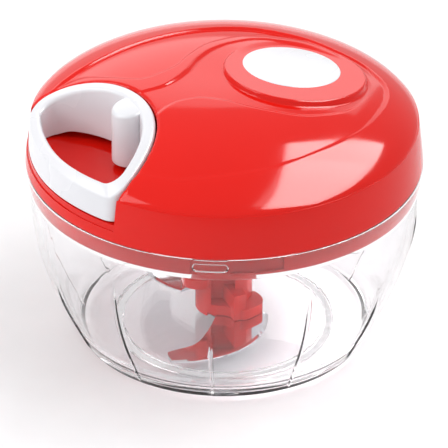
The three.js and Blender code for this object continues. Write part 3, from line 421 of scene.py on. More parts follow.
def ribs_and_bars_tree():
    """Raises ribs on the outer wall, long and short in turn, and bars inside the mouth."""
    sizes = [
        "Rib Count", "Rib Width", "Rib Proud", "Long Rib Top", "Short Rib Top", "Neck Radius",
        "Bar Count", "Bar Angle", "Bar Length", "Bar Height", "Bar Proud", "Bar Level",
    ]
    tree, given = new_tree("ribs and bars", sizes)
    maths = maths_in(tree)

    def named(label):
        return step(tree, "GeometryNodeInputNamedAttribute", label, data_type="FLOAT")

    def ramp(value, start, end):
        ends = (start, end, 0.0, 1.0)
        return step(tree, "ShaderNodeMapRange", value, *ends, interpolation_type="SMOOTHSTEP")

    def squared(value):
        return maths("MULTIPLY", value, value)

    def length(x, y):
        return maths("SQRT", maths("ADD", squared(x), squared(y)))

    def off_nearest(angle, count):
        """How far an angle lies from the nearest of equal steps, and that step's number."""
        turns = maths("DIVIDE", maths("MULTIPLY", angle, count), 2 * math.pi)
        nearest = maths("ROUND", turns)
        part = maths("MULTIPLY", maths("SUBTRACT", turns, nearest), 2 * math.pi)
        return maths("DIVIDE", part, count), nearest

    split = step(tree, "ShaderNodeSeparateXYZ", step(tree, "GeometryNodeInputPosition")).node
    x, y, z = split.outputs
    radius = length(x, y)
    angle = maths("ARCTAN2", y, x)

    part, nearest = off_nearest(angle, given["Rib Count"])
    odd = maths("FLOORED_MODULO", nearest, 2.0)
    shorter = maths("SUBTRACT", given["Short Rib Top"], given["Long Rib Top"])
    top = maths("ADD", given["Long Rib Top"], maths("MULTIPLY", odd, shorter))
    share = named("wall_share")
    fading = ramp(share, top, maths("SUBTRACT", top, 0.16))
    fade = maths("MULTIPLY", fading, ramp(share, 0.0, 0.05))
    half = maths("MULTIPLY", given["Rib Width"], maths("MULTIPLY_ADD", fade, 0.3, 0.2))
    across = maths("DIVIDE", maths("MULTIPLY", part, given["Neck Radius"]), half)
    hump = maths("SQRT", maths("MAXIMUM", maths("SUBTRACT", 1.0, squared(across)), 0.0))
    proud = maths("MULTIPLY", maths("MULTIPLY", given["Rib Proud"], hump), fade)

    part, nearest = off_nearest(maths("SUBTRACT", angle, given["Bar Angle"]), given["Bar Count"])
    arc = maths("ABSOLUTE", maths("MULTIPLY", part, radius))
    straight = maths("DIVIDE", maths("SUBTRACT", given["Bar Length"], given["Bar Height"]), 2.0)
    along = maths("MAXIMUM", maths("SUBTRACT", arc, straight), 0.0)
    away = length(along, maths("SUBTRACT", z, given["Bar Level"]))
    edge = maths("DIVIDE", given["Bar Height"], 2.0)
    bar = ramp(away, edge, maths("SUBTRACT", edge, BAR_EDGE))
    sunk = maths("MULTIPLY", maths("MULTIPLY", given["Bar Proud"], bar), named("in_mouth"))

    shift = maths("DIVIDE", maths("SUBTRACT", proud, sunk), maths("MAXIMUM", radius, 1e-6))
    offset = step(tree, "ShaderNodeCombineXYZ", *[maths("MULTIPLY", way, shift) for way in (x, y)])
    moved = step(tree, "GeometryNodeSetPosition", given["Mesh"], Offset=offset)
    return close_tree(tree, given, moved)


def plain_bowl():
    """The turned bowl, with what the node tree needs to know at each of its points."""
    profile, shares, marks = bowl_profile()
    angles = bowl_angles()
    mesh = turned(profile, angles)
    for label, values in (("wall_share", shares), ("in_mouth", marks)):
        spread = [v for (r, _), v in zip(profile, values) for _ in range(len(angles) if r else 1)]
        attribute = mesh.attributes.new(label, "FLOAT", "POINT")
        attribute.data.foreach_set("value", np.array(spread, np.float32))
    return mesh


bowl = grown(
    plain_bowl(), ribs_and_bars_tree(), clear_plastic,
    Rib_Count=float(RIB_COUNT), Rib_Width=RIB_WIDTH, Rib_Proud=RIB_PROUD,
    Long_Rib_Top=LONG_RIB_TOP, Short_Rib_Top=SHORT_RIB_TOP, Neck_Radius=NECK_RADIUS,
    Bar_Count=float(BAR_COUNT), Bar_Angle=BAR_ANGLE, Bar_Length=BAR_LENGTH,
    Bar_Height=BAR_HEIGHT, Bar_Proud=BAR_PROUD, Bar_Level=BAR_LEVEL,
)
for label in ("wall_share", "in_mouth"):
    bowl.attributes.remove(bowl.attributes[label])
finish_mesh("clear_bowl", bowl, "bowl", clear_plastic, ["bowl"], 40)


# Bowl pin
# A ground steel pin with a round end, pressed into the boss in the middle of the bowl's floor. The
# cutter turns on it.
PIN_RADIUS = 2 * MM
PIN_LENGTH = 27 * MM
pin_low = PIN_BOSS_TOP - PIN_DEPTH + 0.2 * MM
plain_steel = moulded("plain_steel", (0.62, 0.63, 0.65), 0.2, 0.1, 0.1, Metallic=1.0)
pin = [(0, pin_low), (PIN_RADIUS - 0.3 * MM, pin_low), (PIN_RADIUS, pin_low + 0.3 * MM)]
for k in range(9):
    tip = k * math.pi / 16
    reach = 0 if k == 8 else PIN_RADIUS * math.cos(tip)
    pin.append((reach, pin_low + PIN_LENGTH - PIN_RADIUS * (1 - math.sin(tip))))
pin = turned(pin, FULL_TURN[::3])
finish_mesh("steel_pin", pin, "bowl", plain_steel, ["bowl_pin"])


# Blade hub
# The cutter's red column, moulded hollow: pockets cored out of its side, a clamping shoe with a
# flat post over each blade's root, a bore for the pin and a hexagonal socket for the drive shaft.
HUB_RADIUS = 9.2 * MM
HUB_CORE_RADIUS = 4.7 * MM
HUB_FOOT_RADIUS = 6.5 * MM
HUB_BOTTOM = 6.3 * MM
HUB_TOP = 53.5 * MM
HUB_BORE_RADIUS = 2.2 * MM
HUB_BORE_TOP = 33.4 * MM
SOCKET_FLATS = 9.1 * MM
SOCKET_BOTTOM = 42 * MM
FIRST_BLADE = 7.5 * MM
BLADE_SPACING = 9.3 * MM
BLADE_THICKNESS = 1 * MM
BLADE_PLAY = 0.2 * MM
BLADE_SWEEP = math.radians(87)
ROOT_ANGLE = math.radians(36)
LEVEL_TURN = math.radians(-120)
POCKET_WIDTH = 7.6 * MM
POCKET_HEIGHT = 11 * MM
POCKET_TURN = math.radians(-63.5)
SHOE_HEIGHT = 3.4 * MM
SHOE_POST_REACH = 12.8 * MM
SHOE_POST_WIDTH = 4.2 * MM
SHOE_POST_HEIGHT = 9 * MM
SHOE_POST_TURN = math.radians(-37.5)
SLOT_REACH = 20 * MM
SLOT_SPARE = math.radians(10)

# Points of the shoe's rim, as millimetres from the axis and degrees from the blade's root
SHOE_RIM = [
    (8.2, -97), (12, -41), (13.7, -30), (14.1, -6), (13.9, 2), (13.1, 9), (11.8, 17), (10, 27),
]
red_plastic = moulded(
    "red_plastic", (0.66, 0.008, 0.004), 0.07, 0.04, 0.1, IOR=1.47, Specular_IOR_Level=0.3
)


def curve_points(points, steps):
    """Points on a smooth curve through the given ones."""
    p = np.array([points[0], *points, points[-1]], float)
    result = []
    for i in range(1, len(p) - 2):
        for k in range(steps):
            t = k / steps
            slope = (p[i + 1] - p[i - 1]) * t
            bend = (2 * p[i - 1] - 5 * p[i] + 4 * p[i + 1] - p[i + 2]) * t**2
            twist = (3 * p[i] - p[i - 1] - 3 * p[i + 1] + p[i + 2]) * t**3
            result.append(0.5 * (2 * p[i] + slope + bend + twist))
    return np.array([*result, p[-1]])


def lofted(rings, ends=True):
    """A closed mesh through rings of points. It has flat ends, or its last ring joins its first."""
    count, total = len(rings[0]), len(rings) * len(rings[0])
    faces = [tuple(range(count)), tuple(range(total - count, total))] if ends else []
    for a in range(0, total - count if ends else total, count):
        b = (a + count) % total
        faces += [(a + k, a + (k + 1) % count, b + (k + 1) % count, b + k) for k in range(count)]
    return mesh_from([point for ring in rings for point in ring], faces)


def raised(outline, low, high):
    """A flat outline raised between two heights."""
    return lofted([[(x, y, z) for x, y in outline] for z in (low, high)])


def bar_outline(start, end, width, angle):
    """A level bar that runs outwards at an angle."""
    c, s = math.cos(angle), math.sin(angle)
    corners = [(start, -width / 2), (end, -width / 2), (end, width / 2), (start, width / 2)]
    return [(x * c - y * s, x * s + y * c) for x, y in corners]


def sector_outline(inner, outer, start, end, steps=24):
    """A part of a flat ring between two angles."""
    turn = [start + (end - start) * k / steps for k in range(steps + 1)]
    return [polar(outer, a) for a in turn] + [polar(inner, a) for a in reversed(turn)]


def drum(radius, low, high, centre=(0, 0), sides=96):
    """An upright cylinder."""
    angles = np.arange(sides) * 2 * math.pi / sides
    return turned([(0, low), (radius, low), (radius, high), (0, high)], angles, centre)


def hexagon(flats, low, high):
    """A six-sided bar, sized across its flats."""
    outline = [polar(flats / math.sqrt(3), k * math.pi / 3) for k in range(6)]
    return raised(outline, low, high)


def carved(mesh, *tools, operation="DIFFERENCE"):
    """A mesh after other meshes have been cut out of it or joined to it."""
    base = linked("base", mesh)
    helpers = [linked("tool", tool) for tool in tools]
    for helper in helpers:
        work = base.modifiers.new("work", "BOOLEAN")
        work.operation = operation
        work.solver = "EXACT"
        work.object = helper
    return baked(base, *helpers)


def softened(mesh, width):
    """A mesh with its edges broken by a small round."""
    carrier = linked("carrier", mesh)
    bevel = carrier.modifiers.new("bevel", "BEVEL")
    bevel.width = width
    bevel.segments = 2
    bevel.limit_method = "ANGLE"
    bevel.angle_limit = math.radians(35)
    return baked(carrier)


def blade_level(level):
    return FIRST_BLADE + level * BLADE_SPACING


def blade_angle(level):
    return ROOT_ANGLE + level * LEVEL_TURN


def hub_mesh():
    pockets, shoes, slots = [], [], []
    for level in range(3):
        seat, turn = blade_level(level), blade_angle(level)
        low = seat + BLADE_THICKNESS + BLADE_PLAY
        top = low + SHOE_HEIGHT
        pocket = bar_outline(HUB_CORE_RADIUS, HUB_RADIUS + 2 * MM, POCKET_WIDTH, turn + POCKET_TURN)
        pockets.append(raised(pocket, top, top + POCKET_HEIGHT))
        rim = [polar(r * MM, turn + math.radians(a)) for r, a in SHOE_RIM]
        outline = [(0, 0), rim[0], *[tuple(p) for p in curve_points(rim[1:], 6)]]
        shoes.append(raised(outline, low, top))
        post = bar_outline(0, SHOE_POST_REACH, SHOE_POST_WIDTH, turn + SHOE_POST_TURN)
        shoes.append(raised(post, low, low + SHOE_POST_HEIGHT))
        start, end = turn - BLADE_SWEEP - SLOT_SPARE, turn + SLOT_SPARE
        slot = sector_outline(HUB_CORE_RADIUS, SLOT_REACH, start, end)
        slots.append(raised(slot, seat - BLADE_PLAY, low))
    column = carved(drum(HUB_RADIUS, FIRST_BLADE - 0.6 * MM, HUB_TOP), *pockets)
    foot = drum(HUB_FOOT_RADIUS, HUB_BOTTOM, FIRST_BLADE)
    half = sector_outline(HUB_FOOT_RADIUS, SLOT_REACH, 0, math.pi, 48)
    return carved(
        carved(column, foot, *shoes, operation="UNION"),
        *[raised([(x * way, y * way) for x, y in half], 0, FIRST_BLADE) for way in (1, -1)],
        *slots,
        drum(HUB_BORE_RADIUS, 0, HUB_BORE_TOP, sides=48),
        hexagon(SOCKET_FLATS, SOCKET_BOTTOM, HUB_TOP + 2 * MM),
    )


hub = softened(hub_mesh(), 0.22 * MM)
finish_mesh("red_hub", hub, "cutter", red_plastic, ["blade_hub"])


# Blades
# Three polished stainless steel blades, one above the other and turned a third of a circle each.
# They are stamped flat, ground to an edge along the swept side, and clamped in the hub by the root.
BLADE_TIP = 38.0 * MM
BLADE_HEEL = 16 * MM
BLADE_GRIP = 5 * MM
BLADE_CURL = 1.15
BLADE_BEVEL = 0.9 * MM
BLADE_EDGE = 0.55 * MM
TIP_BEVEL = 0.12

# Points of the back edge, as shares of the tip's radius and of the sweep
BACK_EDGE = [(0.918, 1.055), (0.859, 1.037), (0.697, 0.931), (0.472, 0.891), (0.241, 0.89)]


def polished(name):
    """Mirror steel with the fine straight marks of grinding."""
    material = moulded(name, (0.80, 0.80, 0.82), 0.05, 0.04, 0, Metallic=1.0)
    tree = material.node_tree
    place = step(tree, "ShaderNodeTexCoord", output="Object")
    lengthened = step(
        tree, "ShaderNodeMapping", place, Rotation=(0, 0, math.radians(28)), Scale=(60, 2600, 60)
    )
    embossed(tree, step(tree, "ShaderNodeTexNoise", lengthened, Scale=1.0), 0.05, 0.01 * MM)
    return material


def blade_outline(ground, turn):
    """A blade's outline, with its swept side drawn in by the ground width."""
    points = []
    for share in np.linspace(0, 1, 49):
        radius = BLADE_HEEL + (BLADE_TIP - BLADE_HEEL) * share**BLADE_CURL
        inset = ground * min(1, 6 * (1 - share) + TIP_BEVEL)
        points.append(polar(radius - inset, turn - BLADE_SWEEP * share))
    back = [(BLADE_TIP - ground * TIP_BEVEL, 1.0)] + [(BLADE_TIP * r, a) for r, a in BACK_EDGE]
    curve = curve_points([polar(r, turn - BLADE_SWEEP * a) for r, a in back], 8)
    points += [tuple(p) for p in curve[1:]]
    return points + [polar(BLADE_GRIP, turn - BLADE_SWEEP * (1 - k / 12)) for k in range(13)]


def blade_mesh(level):
    low = blade_level(level)
    full, ground = [blade_outline(width, blade_angle(level)) for width in (0, BLADE_BEVEL)]
    layers = [(full, low), (full, low + BLADE_EDGE), (ground, low + BLADE_THICKNESS)]
    return lofted([[(x, y, z) for x, y in outline] for outline, z in layers])


blade_steel = polished("blade_steel")
for level, node in enumerate(("lower_blade", "middle_blade", "upper_blade")):
    blade = blade_mesh(level)
    finish_mesh("steel_" + node, blade, "cutter", blade_steel, [node], 8)


# Lid base
# The red moulding that plugs into the bowl's mouth: a plate with the spring's cup and four screw
# posts, a flange that rests on the rim, and a channel for each locking bar to enter and turn in.
cover_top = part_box("lid_cover")[1].z
LID_RADIUS = RIM_RADIUS + 0.1 * MM
SKIRT_EDGE = RIM_HEIGHT + 0.3 * MM
LID_WALL = 2.2 * MM
PLUG_RADIUS = MOUTH_RADIUS - 0.5 * MM
PLUG_WALL = 2 * MM
PLUG_BOTTOM = RIM_HEIGHT - COLLAR_HEIGHT + 0.3 * MM
PLATE_TOP = PLUG_BOTTOM + 2.2 * MM
FLANGE_TOP = SKIRT_EDGE + 1.9 * MM
CUP_RADIUS = 20.3 * MM
CUP_WALL = 1.4 * MM
BUSH_BOSS_RADIUS = 10 * MM
BUSH_BOSS_TOP = PLATE_TOP + 3.3 * MM
BUSH_HOLE = 7.4 * MM
BUSH_TOP = BUSH_BOSS_TOP + 1.3 * MM
SPRING_BOTTOM = BUSH_TOP + 1.2 * MM
SPRING_WIDTH = 5 * MM
CUP_TOP = SPRING_BOTTOM + SPRING_WIDTH + 0.3 * MM
POST_CIRCLE = 46 * MM
POST_RADIUS = 4.2 * MM
POST_TOP = FLANGE_TOP + 0.2 * MM
POST_COUNT = 4
POST_FIRST = math.radians(-15)
POST_STEP = math.radians(70)
SCREW_SEAT = PLUG_BOTTOM + 5 * MM
SCREW_RADIUS = 1.35 * MM
SCREW_HEAD_RADIUS = 3 * MM
SCREW_PLAY = 0.3 * MM
LOCK_TURN = math.radians(16)
CHANNEL_PLAY = 0.4 * MM
SPRING_SLOT = 1.1 * MM


def lid_base_mesh():
    inner = PLUG_RADIUS - PLUG_WALL
    flange = LID_RADIUS - LID_WALL - 0.6 * MM
    cup = CUP_RADIUS + CUP_WALL
    corners = [
        (BUSH_HOLE, PLUG_BOTTOM, 0.3), (PLUG_RADIUS, PLUG_BOTTOM, 0.8),
        (PLUG_RADIUS, SKIRT_EDGE, 0.3), (flange, SKIRT_EDGE, 0.2), (flange, FLANGE_TOP, 0.4),
        (inner, FLANGE_TOP, 0.4), (inner, PLATE_TOP, 0.8), (cup, PLATE_TOP, 0.6),
        (cup, CUP_TOP, 0.3), (CUP_RADIUS, CUP_TOP, 0.3), (CUP_RADIUS, PLATE_TOP, 0.5),
        (BUSH_BOSS_RADIUS, PLATE_TOP, 0.5), (BUSH_BOSS_RADIUS, BUSH_BOSS_TOP, 0.3),
        (BUSH_HOLE, BUSH_BOSS_TOP, 0.3),
    ]
    plug = turned(rounded([(r, z, soft * MM) for r, z, soft in corners], 3))
    posts, cuts = [], []
    for k in range(POST_COUNT):
        centre = polar(POST_CIRCLE, POST_FIRST + k * POST_STEP)
        posts.append(drum(POST_RADIUS, PLATE_TOP - 0.6 * MM, POST_TOP, centre, 48))
        head, hole = SCREW_HEAD_RADIUS + SCREW_PLAY, SCREW_RADIUS + SCREW_PLAY
        cuts.append(drum(head, 0, SCREW_SEAT + SCREW_PLAY, centre, 48))
        cuts.append(drum(hole, 0, POST_TOP + 2 * MM, centre, 32))
    low = BAR_LEVEL - BAR_HEIGHT / 2 - CHANNEL_PLAY
    top = BAR_LEVEL + BAR_HEIGHT / 2 + CHANNEL_PLAY
    depth = MOUTH_RADIUS - BAR_PROUD - CHANNEL_PLAY
    half = math.asin(BAR_LENGTH / 2 / depth) + CHANNEL_PLAY / depth
    apart = 0.06 * MM  # The two cuts of a channel share no face, which would spoil the second
    for k in range(BAR_COUNT):
        middle = BAR_ANGLE + 2 * math.pi * k / BAR_COUNT
        end = middle + half + LOCK_TURN
        entry = sector_outline(depth, MOUTH_RADIUS, middle - half, middle + half)
        run = sector_outline(depth - apart, MOUTH_RADIUS + 0.2 * MM, middle, end)
        cuts.append(raised(entry, PLUG_BOTTOM - 2 * MM, top - apart))
        cuts.append(raised(run, low, top))
    slot = bar_outline(CUP_RADIUS - MM, CUP_RADIUS + CUP_WALL + MM, SPRING_SLOT, 0)
    cuts.append(raised(slot, SPRING_BOTTOM - 0.2 * MM, CUP_TOP + 2 * MM))
    return carved(carved(plug, *posts, operation="UNION"), *cuts)


finish_mesh("red_lid_base", lid_base_mesh(), "lid", red_plastic, ["lid_base"])


# Lid screws
# Four plated self-tapping screws with cross-recessed pan heads, driven up through the posts of the
# lid base into the cover. A node tree winds the thread on one and sets it round the lid.
SCREW_REACH = 12 * MM
SCREW_HEAD_DEPTH = 2 * MM
THREAD_TURNS = 9.0
THREAD_RIDGE = 0.34 * MM
SCREW_TWIST = 1.7


def screw_blank():
    """A head and shank on the origin's axis, with the cross recess in the head."""
    low = SCREW_SEAT - SCREW_HEAD_DEPTH
    tip = SCREW_SEAT + SCREW_REACH
    shank = 0.8 * SCREW_RADIUS
    profile = [
        (0, low), (1.5 * MM, low + 0.04 * MM), (2.4 * MM, low + 0.3 * MM),
        (2.9 * MM, low + 0.8 * MM), (SCREW_HEAD_RADIUS, low + 1.3 * MM),
        (SCREW_HEAD_RADIUS, SCREW_SEAT - 0.1 * MM), (2.9 * MM, SCREW_SEAT),
        (shank + 0.3 * MM, SCREW_SEAT), (shank, SCREW_SEAT + 0.3 * MM),
        (shank, tip - 1.6 * MM), (0.5 * MM, tip - 0.1 * MM), (0, tip),
    ]
    slots = [
        raised(bar_outline(-1.7 * MM, 1.7 * MM, 0.7 * MM, a), low - MM, low + MM)
        for a in (0, math.pi / 2)
    ]
    return carved(turned(profile, FULL_TURN[::4]), *slots)


def screws_tree():
    """Winds a thread on a screw and repeats it at equal steps round a circle, each turned
    differently."""
    sizes = ["Thread Radius", "Thread Start", "Thread Length"]
    tree, given = new_tree("lid screws", [*sizes, "Circle", "Count", "First Angle", "Step"])
    maths = maths_in(tree)
    radius = given["Thread Radius"]
    thread = step(
        tree, "GeometryNodeCurveSpiral", 20, THREAD_TURNS,
        Start_Radius=radius, End_Radius=radius, Height=given["Thread Length"],
    )
    ridge = step(tree, "GeometryNodeCurvePrimitiveCircle", 3, Radius=THREAD_RIDGE)
    wound = step(tree, "GeometryNodeCurveToMesh", thread, ridge, Fill_Caps=True)
    up = step(tree, "ShaderNodeCombineXYZ", Z=given["Thread Start"])
    lifted = step(tree, "GeometryNodeSetPosition", wound, Offset=up)
    both = step(tree, "GeometryNodeJoinGeometry", given["Mesh"])
    tree.links.new(lifted, both.node.inputs[0])
    places = step(tree, "GeometryNodeMeshLine", Count=given["Count"], Offset=(0, 0, 0))
    index = step(tree, "GeometryNodeInputIndex")
    angle = maths("ADD", given["First Angle"], maths("MULTIPLY", index, given["Step"]))
    ways = [maths("MULTIPLY", given["Circle"], maths(way, angle)) for way in ("COSINE", "SINE")]
    spot = step(tree, "ShaderNodeCombineXYZ", *ways)
    spread = step(tree, "GeometryNodeSetPosition", places, Offset=spot)
    twist = step(tree, "ShaderNodeCombineXYZ", Z=maths("MULTIPLY", angle, SCREW_TWIST))
    copies = step(
        tree, "GeometryNodeInstanceOnPoints", Points=spread, Instance=both, Rotation=twist
    )
    return close_tree(tree, given, copies)


screws = grown(
    screw_blank(), screws_tree(), plain_steel,
    Thread_Radius=0.85 * SCREW_RADIUS, Thread_Start=SCREW_SEAT + 1.2 * MM,
    Thread_Length=8.6 * MM, Circle=POST_CIRCLE, Count=float(POST_COUNT),
    First_Angle=POST_FIRST, Step=POST_STEP,
)
screw_nodes = ["lid_screw_%d" % (k + 1) for k in range(POST_COUNT)]
finish_mesh("lid_screws", screws, "lid", plain_steel, screw_nodes)


# Drive bush and drive shaft
# A flanged bronze bush is pressed into the plate. The hexagonal steel shaft hangs from the reel
# through it, and its lower end is chamfered to find the hub's socket.
BUSH_BORE = 5.7 * MM
BUSH_RADIUS = 7.2 * MM
BUSH_FLANGE = 9.6 * MM
BUSH_BOTTOM = PLUG_BOTTOM + 0.3 * MM
SHAFT_FLATS = 8.6 * MM
SHAFT_RADIUS = 5.3 * MM
SHAFT_TIP_RADIUS = 3.9 * MM
SHAFT_TIP_HEIGHT = 1.2 * MM
SHAFT_BOTTOM = PLUG_BOTTOM - 12.2 * MM
TANG_FLATS = 6 * MM
bush_bronze = moulded("bush_bronze", (0.52, 0.36, 0.16), 0.3, 0.15, 0.3, Metallic=1.0)
bush = rounded(
    [
        (BUSH_BORE, BUSH_BOTTOM, 0.2 * MM), (BUSH_RADIUS, BUSH_BOTTOM, 0.2 * MM),
        (BUSH_RADIUS, BUSH_TOP - MM), (BUSH_FLANGE, BUSH_TOP - MM, 0.2 * MM),
        (BUSH_FLANGE, BUSH_TOP, 0.2 * MM), (BUSH_BORE, BUSH_TOP, 0.2 * MM),
    ],
    2,
)
bush = turned(bush)
finish_mesh("bronze_bush", bush, "lid", bush_bronze, ["drive_bush"])

shaft_cone = [
    (0, SHAFT_BOTTOM), (SHAFT_TIP_RADIUS, SHAFT_BOTTOM),
    (SHAFT_RADIUS, SHAFT_BOTTOM + SHAFT_TIP_HEIGHT), (SHAFT_RADIUS, PLUG_BOTTOM + MM),
    (0, PLUG_BOTTOM + MM),
]
shaft_cone = turned(shaft_cone)
shaft = carved(hexagon(SHAFT_FLATS, SHAFT_BOTTOM, PLUG_BOTTOM), shaft_cone, operation="INTERSECT")
tang = hexagon(TANG_FLATS, PLUG_BOTTOM - 0.6 * MM, PLUG_BOTTOM + 7.9 * MM)
shaft = softened(carved(shaft, tang, operation="UNION"), 0.15 * MM)
finish_mesh("steel_shaft", shaft, "reel", plain_steel, ["drive_shaft"])


# Cord reel, its cap and its axle
# The reel is a natural plastic spool: a journal that turns in the bush, an arbor for the spring and
# a drum for the cord. A pressed-on cap closes the drum, and a steel axle carries both.
JOURNAL_RADIUS = 5.5 * MM
ARBOR_RADIUS = 6.5 * MM
ARBOR_COLLAR = 8 * MM
ARBOR_BOTTOM = BUSH_TOP + 0.3 * MM
DRUM_RADIUS = 9.4 * MM
REEL_RADIUS = 17 * MM
REEL_BOTTOM = CUP_TOP + 1.8 * MM
GROOVE_WIDTH = 8.3 * MM
GROOVE_BOTTOM = REEL_BOTTOM + 1.2 * MM
GROOVE_TOP = GROOVE_BOTTOM + GROOVE_WIDTH
REEL_TOP = GROOVE_TOP + 1.2 * MM
CAP_SEAT_RADIUS = 7.9 * MM
CAP_SEAT_TOP = GROOVE_TOP + 0.75 * MM
CAP_PLAY = 0.2 * MM
AXLE_RADIUS = 2 * MM
AXLE_TOP = REEL_TOP + 3.8 * MM
AXLE_BOTTOM = AXLE_TOP - 18.4 * MM
HOOK_SLOT = 1.8 * MM
natural_plastic = moulded("natural_plastic", (0.80, 0.78, 0.71), 0.35, 0.15, 0.4)
spool = [
    (JOURNAL_RADIUS, BUSH_BOTTOM), (JOURNAL_RADIUS, ARBOR_BOTTOM), (ARBOR_COLLAR, ARBOR_BOTTOM),
    (ARBOR_COLLAR, ARBOR_BOTTOM + 0.6 * MM), (ARBOR_RADIUS, ARBOR_BOTTOM + 0.6 * MM),
    (ARBOR_RADIUS, REEL_BOTTOM), (REEL_RADIUS, REEL_BOTTOM), (REEL_RADIUS, GROOVE_BOTTOM),
    (DRUM_RADIUS, GROOVE_BOTTOM), (DRUM_RADIUS, GROOVE_TOP), (CAP_SEAT_RADIUS, GROOVE_TOP),
    (CAP_SEAT_RADIUS, CAP_SEAT_TOP),
]
spool = [(0, BUSH_BOTTOM), *[(r, z, 0.15 * MM) for r, z in spool], (0, CAP_SEAT_TOP)]
hook_slot = bar_outline(4.3 * MM, 7.6 * MM, HOOK_SLOT, 0)
spool = carved(
    turned(rounded(spool, 2)),
    drum(AXLE_RADIUS + 0.2 * MM, AXLE_BOTTOM - 0.3 * MM, REEL_TOP + 2 * MM, sides=48),
    hexagon(TANG_FLATS + 0.4 * MM, PLUG_BOTTOM - 2 * MM, PLUG_BOTTOM + 8.2 * MM),
    raised(hook_slot, SPRING_BOTTOM - 0.2 * MM, CUP_TOP),
)
finish_mesh("cord_spool", spool, "reel", natural_plastic, ["cord_reel"])

cap = rounded(
    [
        (CAP_SEAT_RADIUS + CAP_PLAY, GROOVE_TOP + CAP_PLAY, 0.1 * MM),
        (REEL_RADIUS, GROOVE_TOP + CAP_PLAY, 0.3 * MM),
        (REEL_RADIUS, REEL_TOP + CAP_PLAY, 0.3 * MM),
        (AXLE_RADIUS + 0.4 * MM, REEL_TOP + CAP_PLAY),
        (AXLE_RADIUS + 0.4 * MM, CAP_SEAT_TOP + CAP_PLAY),
        (CAP_SEAT_RADIUS + CAP_PLAY, CAP_SEAT_TOP + CAP_PLAY),
    ],
    2,
)
cap = turned(cap)
finish_mesh("spool_cap", cap, "reel", natural_plastic, ["reel_cap"])

axle = [(AXLE_RADIUS, AXLE_BOTTOM, 0.3 * MM), (AXLE_RADIUS, AXLE_TOP, 0.3 * MM)]
axle = turned(rounded([(0, AXLE_BOTTOM), *axle, (0, AXLE_TOP)], 3), FULL_TURN[::3])
finish_mesh("steel_axle", axle, "lid", plain_steel, ["reel_axle"])


# Recoil spring and its cover
# A flat spiral of blued spring steel lies in the cup under the reel, hooked to the arbor and to the
# cup's wall, and winds the cord back in. A thin natural plastic ring keeps it down.
SPRING_TURNS = 8
SPRING_STRIP = 0.4 * MM
SPRING_HOOK = 2.2 * MM
SPRING_INNER = ARBOR_RADIUS + 0.4 * MM
SPRING_OUTER = CUP_RADIUS - 0.4 * MM
SPRING_LEVEL = SPRING_BOTTOM + SPRING_WIDTH / 2
KEEPER_BORE = 6.9 * MM
KEEPER_BOTTOM = CUP_TOP + 0.3 * MM
KEEPER_TOP = KEEPER_BOTTOM + 1.2 * MM
TURN_STEPS = 72
spring_steel = moulded("spring_steel", (0.22, 0.26, 0.34), 0.25, 0.12, 0.1, Metallic=1.0)


def path_mesh(points):
    """A line of points joined by edges, for a node tree to draw a section along."""
    mesh = bpy.data.meshes.new("path")
    edges = [(i, i + 1) for i in range(len(points) - 1)]
    mesh.from_pydata([tuple(p) for p in points], edges, [])
    return mesh


def swept_tree(name, *sizes):
    """Draws a section along a path and closes its ends: flat with a width and a height, and round
    with a width alone."""
    tree, given = new_tree(name, sizes)
    path = step(tree, "GeometryNodeMeshToCurve", given["Mesh"])
    upright = step(tree, "GeometryNodeSetCurveNormal", path)
    upright.node.mode = "Z_UP"
    if "Height" in sizes:
        flat = (given["Width"], given["Height"])
        section = step(tree, "GeometryNodeCurvePrimitiveQuadrilateral", *flat)
    else:
        half = step(tree, "ShaderNodeMath", given["Width"], 0.5, operation="MULTIPLY")
        section = step(tree, "GeometryNodeCurvePrimitiveCircle", 14, Radius=half)
    body = step(tree, "GeometryNodeCurveToMesh", upright, section, Fill_Caps=True)
    return close_tree(tree, given, body)


spiral = [(SPRING_INNER - SPRING_HOOK, 0, SPRING_LEVEL)]
for i in range(SPRING_TURNS * TURN_STEPS + 1):
    turn = i / TURN_STEPS
    radius = SPRING_INNER + (SPRING_OUTER - SPRING_INNER) * turn / SPRING_TURNS
    spiral.append((*polar(radius, turn * 2 * math.pi), SPRING_LEVEL))
spiral.append((SPRING_OUTER + SPRING_HOOK, 0, SPRING_LEVEL))
spring_tree = swept_tree("spring strip", "Width", "Height")
spring = grown(
    path_mesh(spiral), spring_tree, spring_steel, Width=SPRING_STRIP, Height=SPRING_WIDTH
)
finish_mesh("spring_strip", spring, "lid", spring_steel, ["recoil_spring"], 50)

keeper = [
    (KEEPER_BORE, KEEPER_BOTTOM), (CUP_RADIUS + CUP_WALL, KEEPER_BOTTOM),
    (CUP_RADIUS + CUP_WALL, KEEPER_TOP), (KEEPER_BORE, KEEPER_TOP),
]
keeper = turned(rounded([(r, z, 0.2 * MM) for r, z in keeper], 2))
finish_mesh("spring_keeper", keeper, "lid", natural_plastic, ["spring_cover"])


# Cord
# A white braided cord, 1.6 mm thick: two layers wound on the drum, a lead that turns out through
# the eyelet, and a knot in the handle's boss. The lead draws out between the lid and the handle.
CORD_RADIUS = 0.8 * MM
NOSE_REACH = 27.2 * MM
KNOT_CENTRE = NOSE_REACH + 6.4 * MM
KNOT_RADIUS = 2.2 * MM
KNOT_CORD = 1.5 * MM
KNOT_SIZE = 0.47 * MM
KNOT_RISE = 1.1 * MM
CORD_LEVEL = GROOVE_BOTTOM + CORD_RADIUS + 0.2 * MM
DRUM_PATH = DRUM_RADIUS + CORD_RADIUS + 0.2 * MM
LAYER_PITCH = 2.1 * MM
OUTER_PATH = DRUM_PATH + LAYER_PITCH
LAYER_TURNS = 3
CLIMB_TURNS = 0.25
WINDING_TURNS = 2 * LAYER_TURNS + CLIMB_TURNS
TURN_RISE = (GROOVE_WIDTH - 2 * CORD_RADIUS - 0.4 * MM) / LAYER_TURNS
EYELET_SEAT = NOSE_REACH - 2.5 * MM
EYELET_FLANGE = 1.2 * MM
CORD_BEND = 1.6 * MM
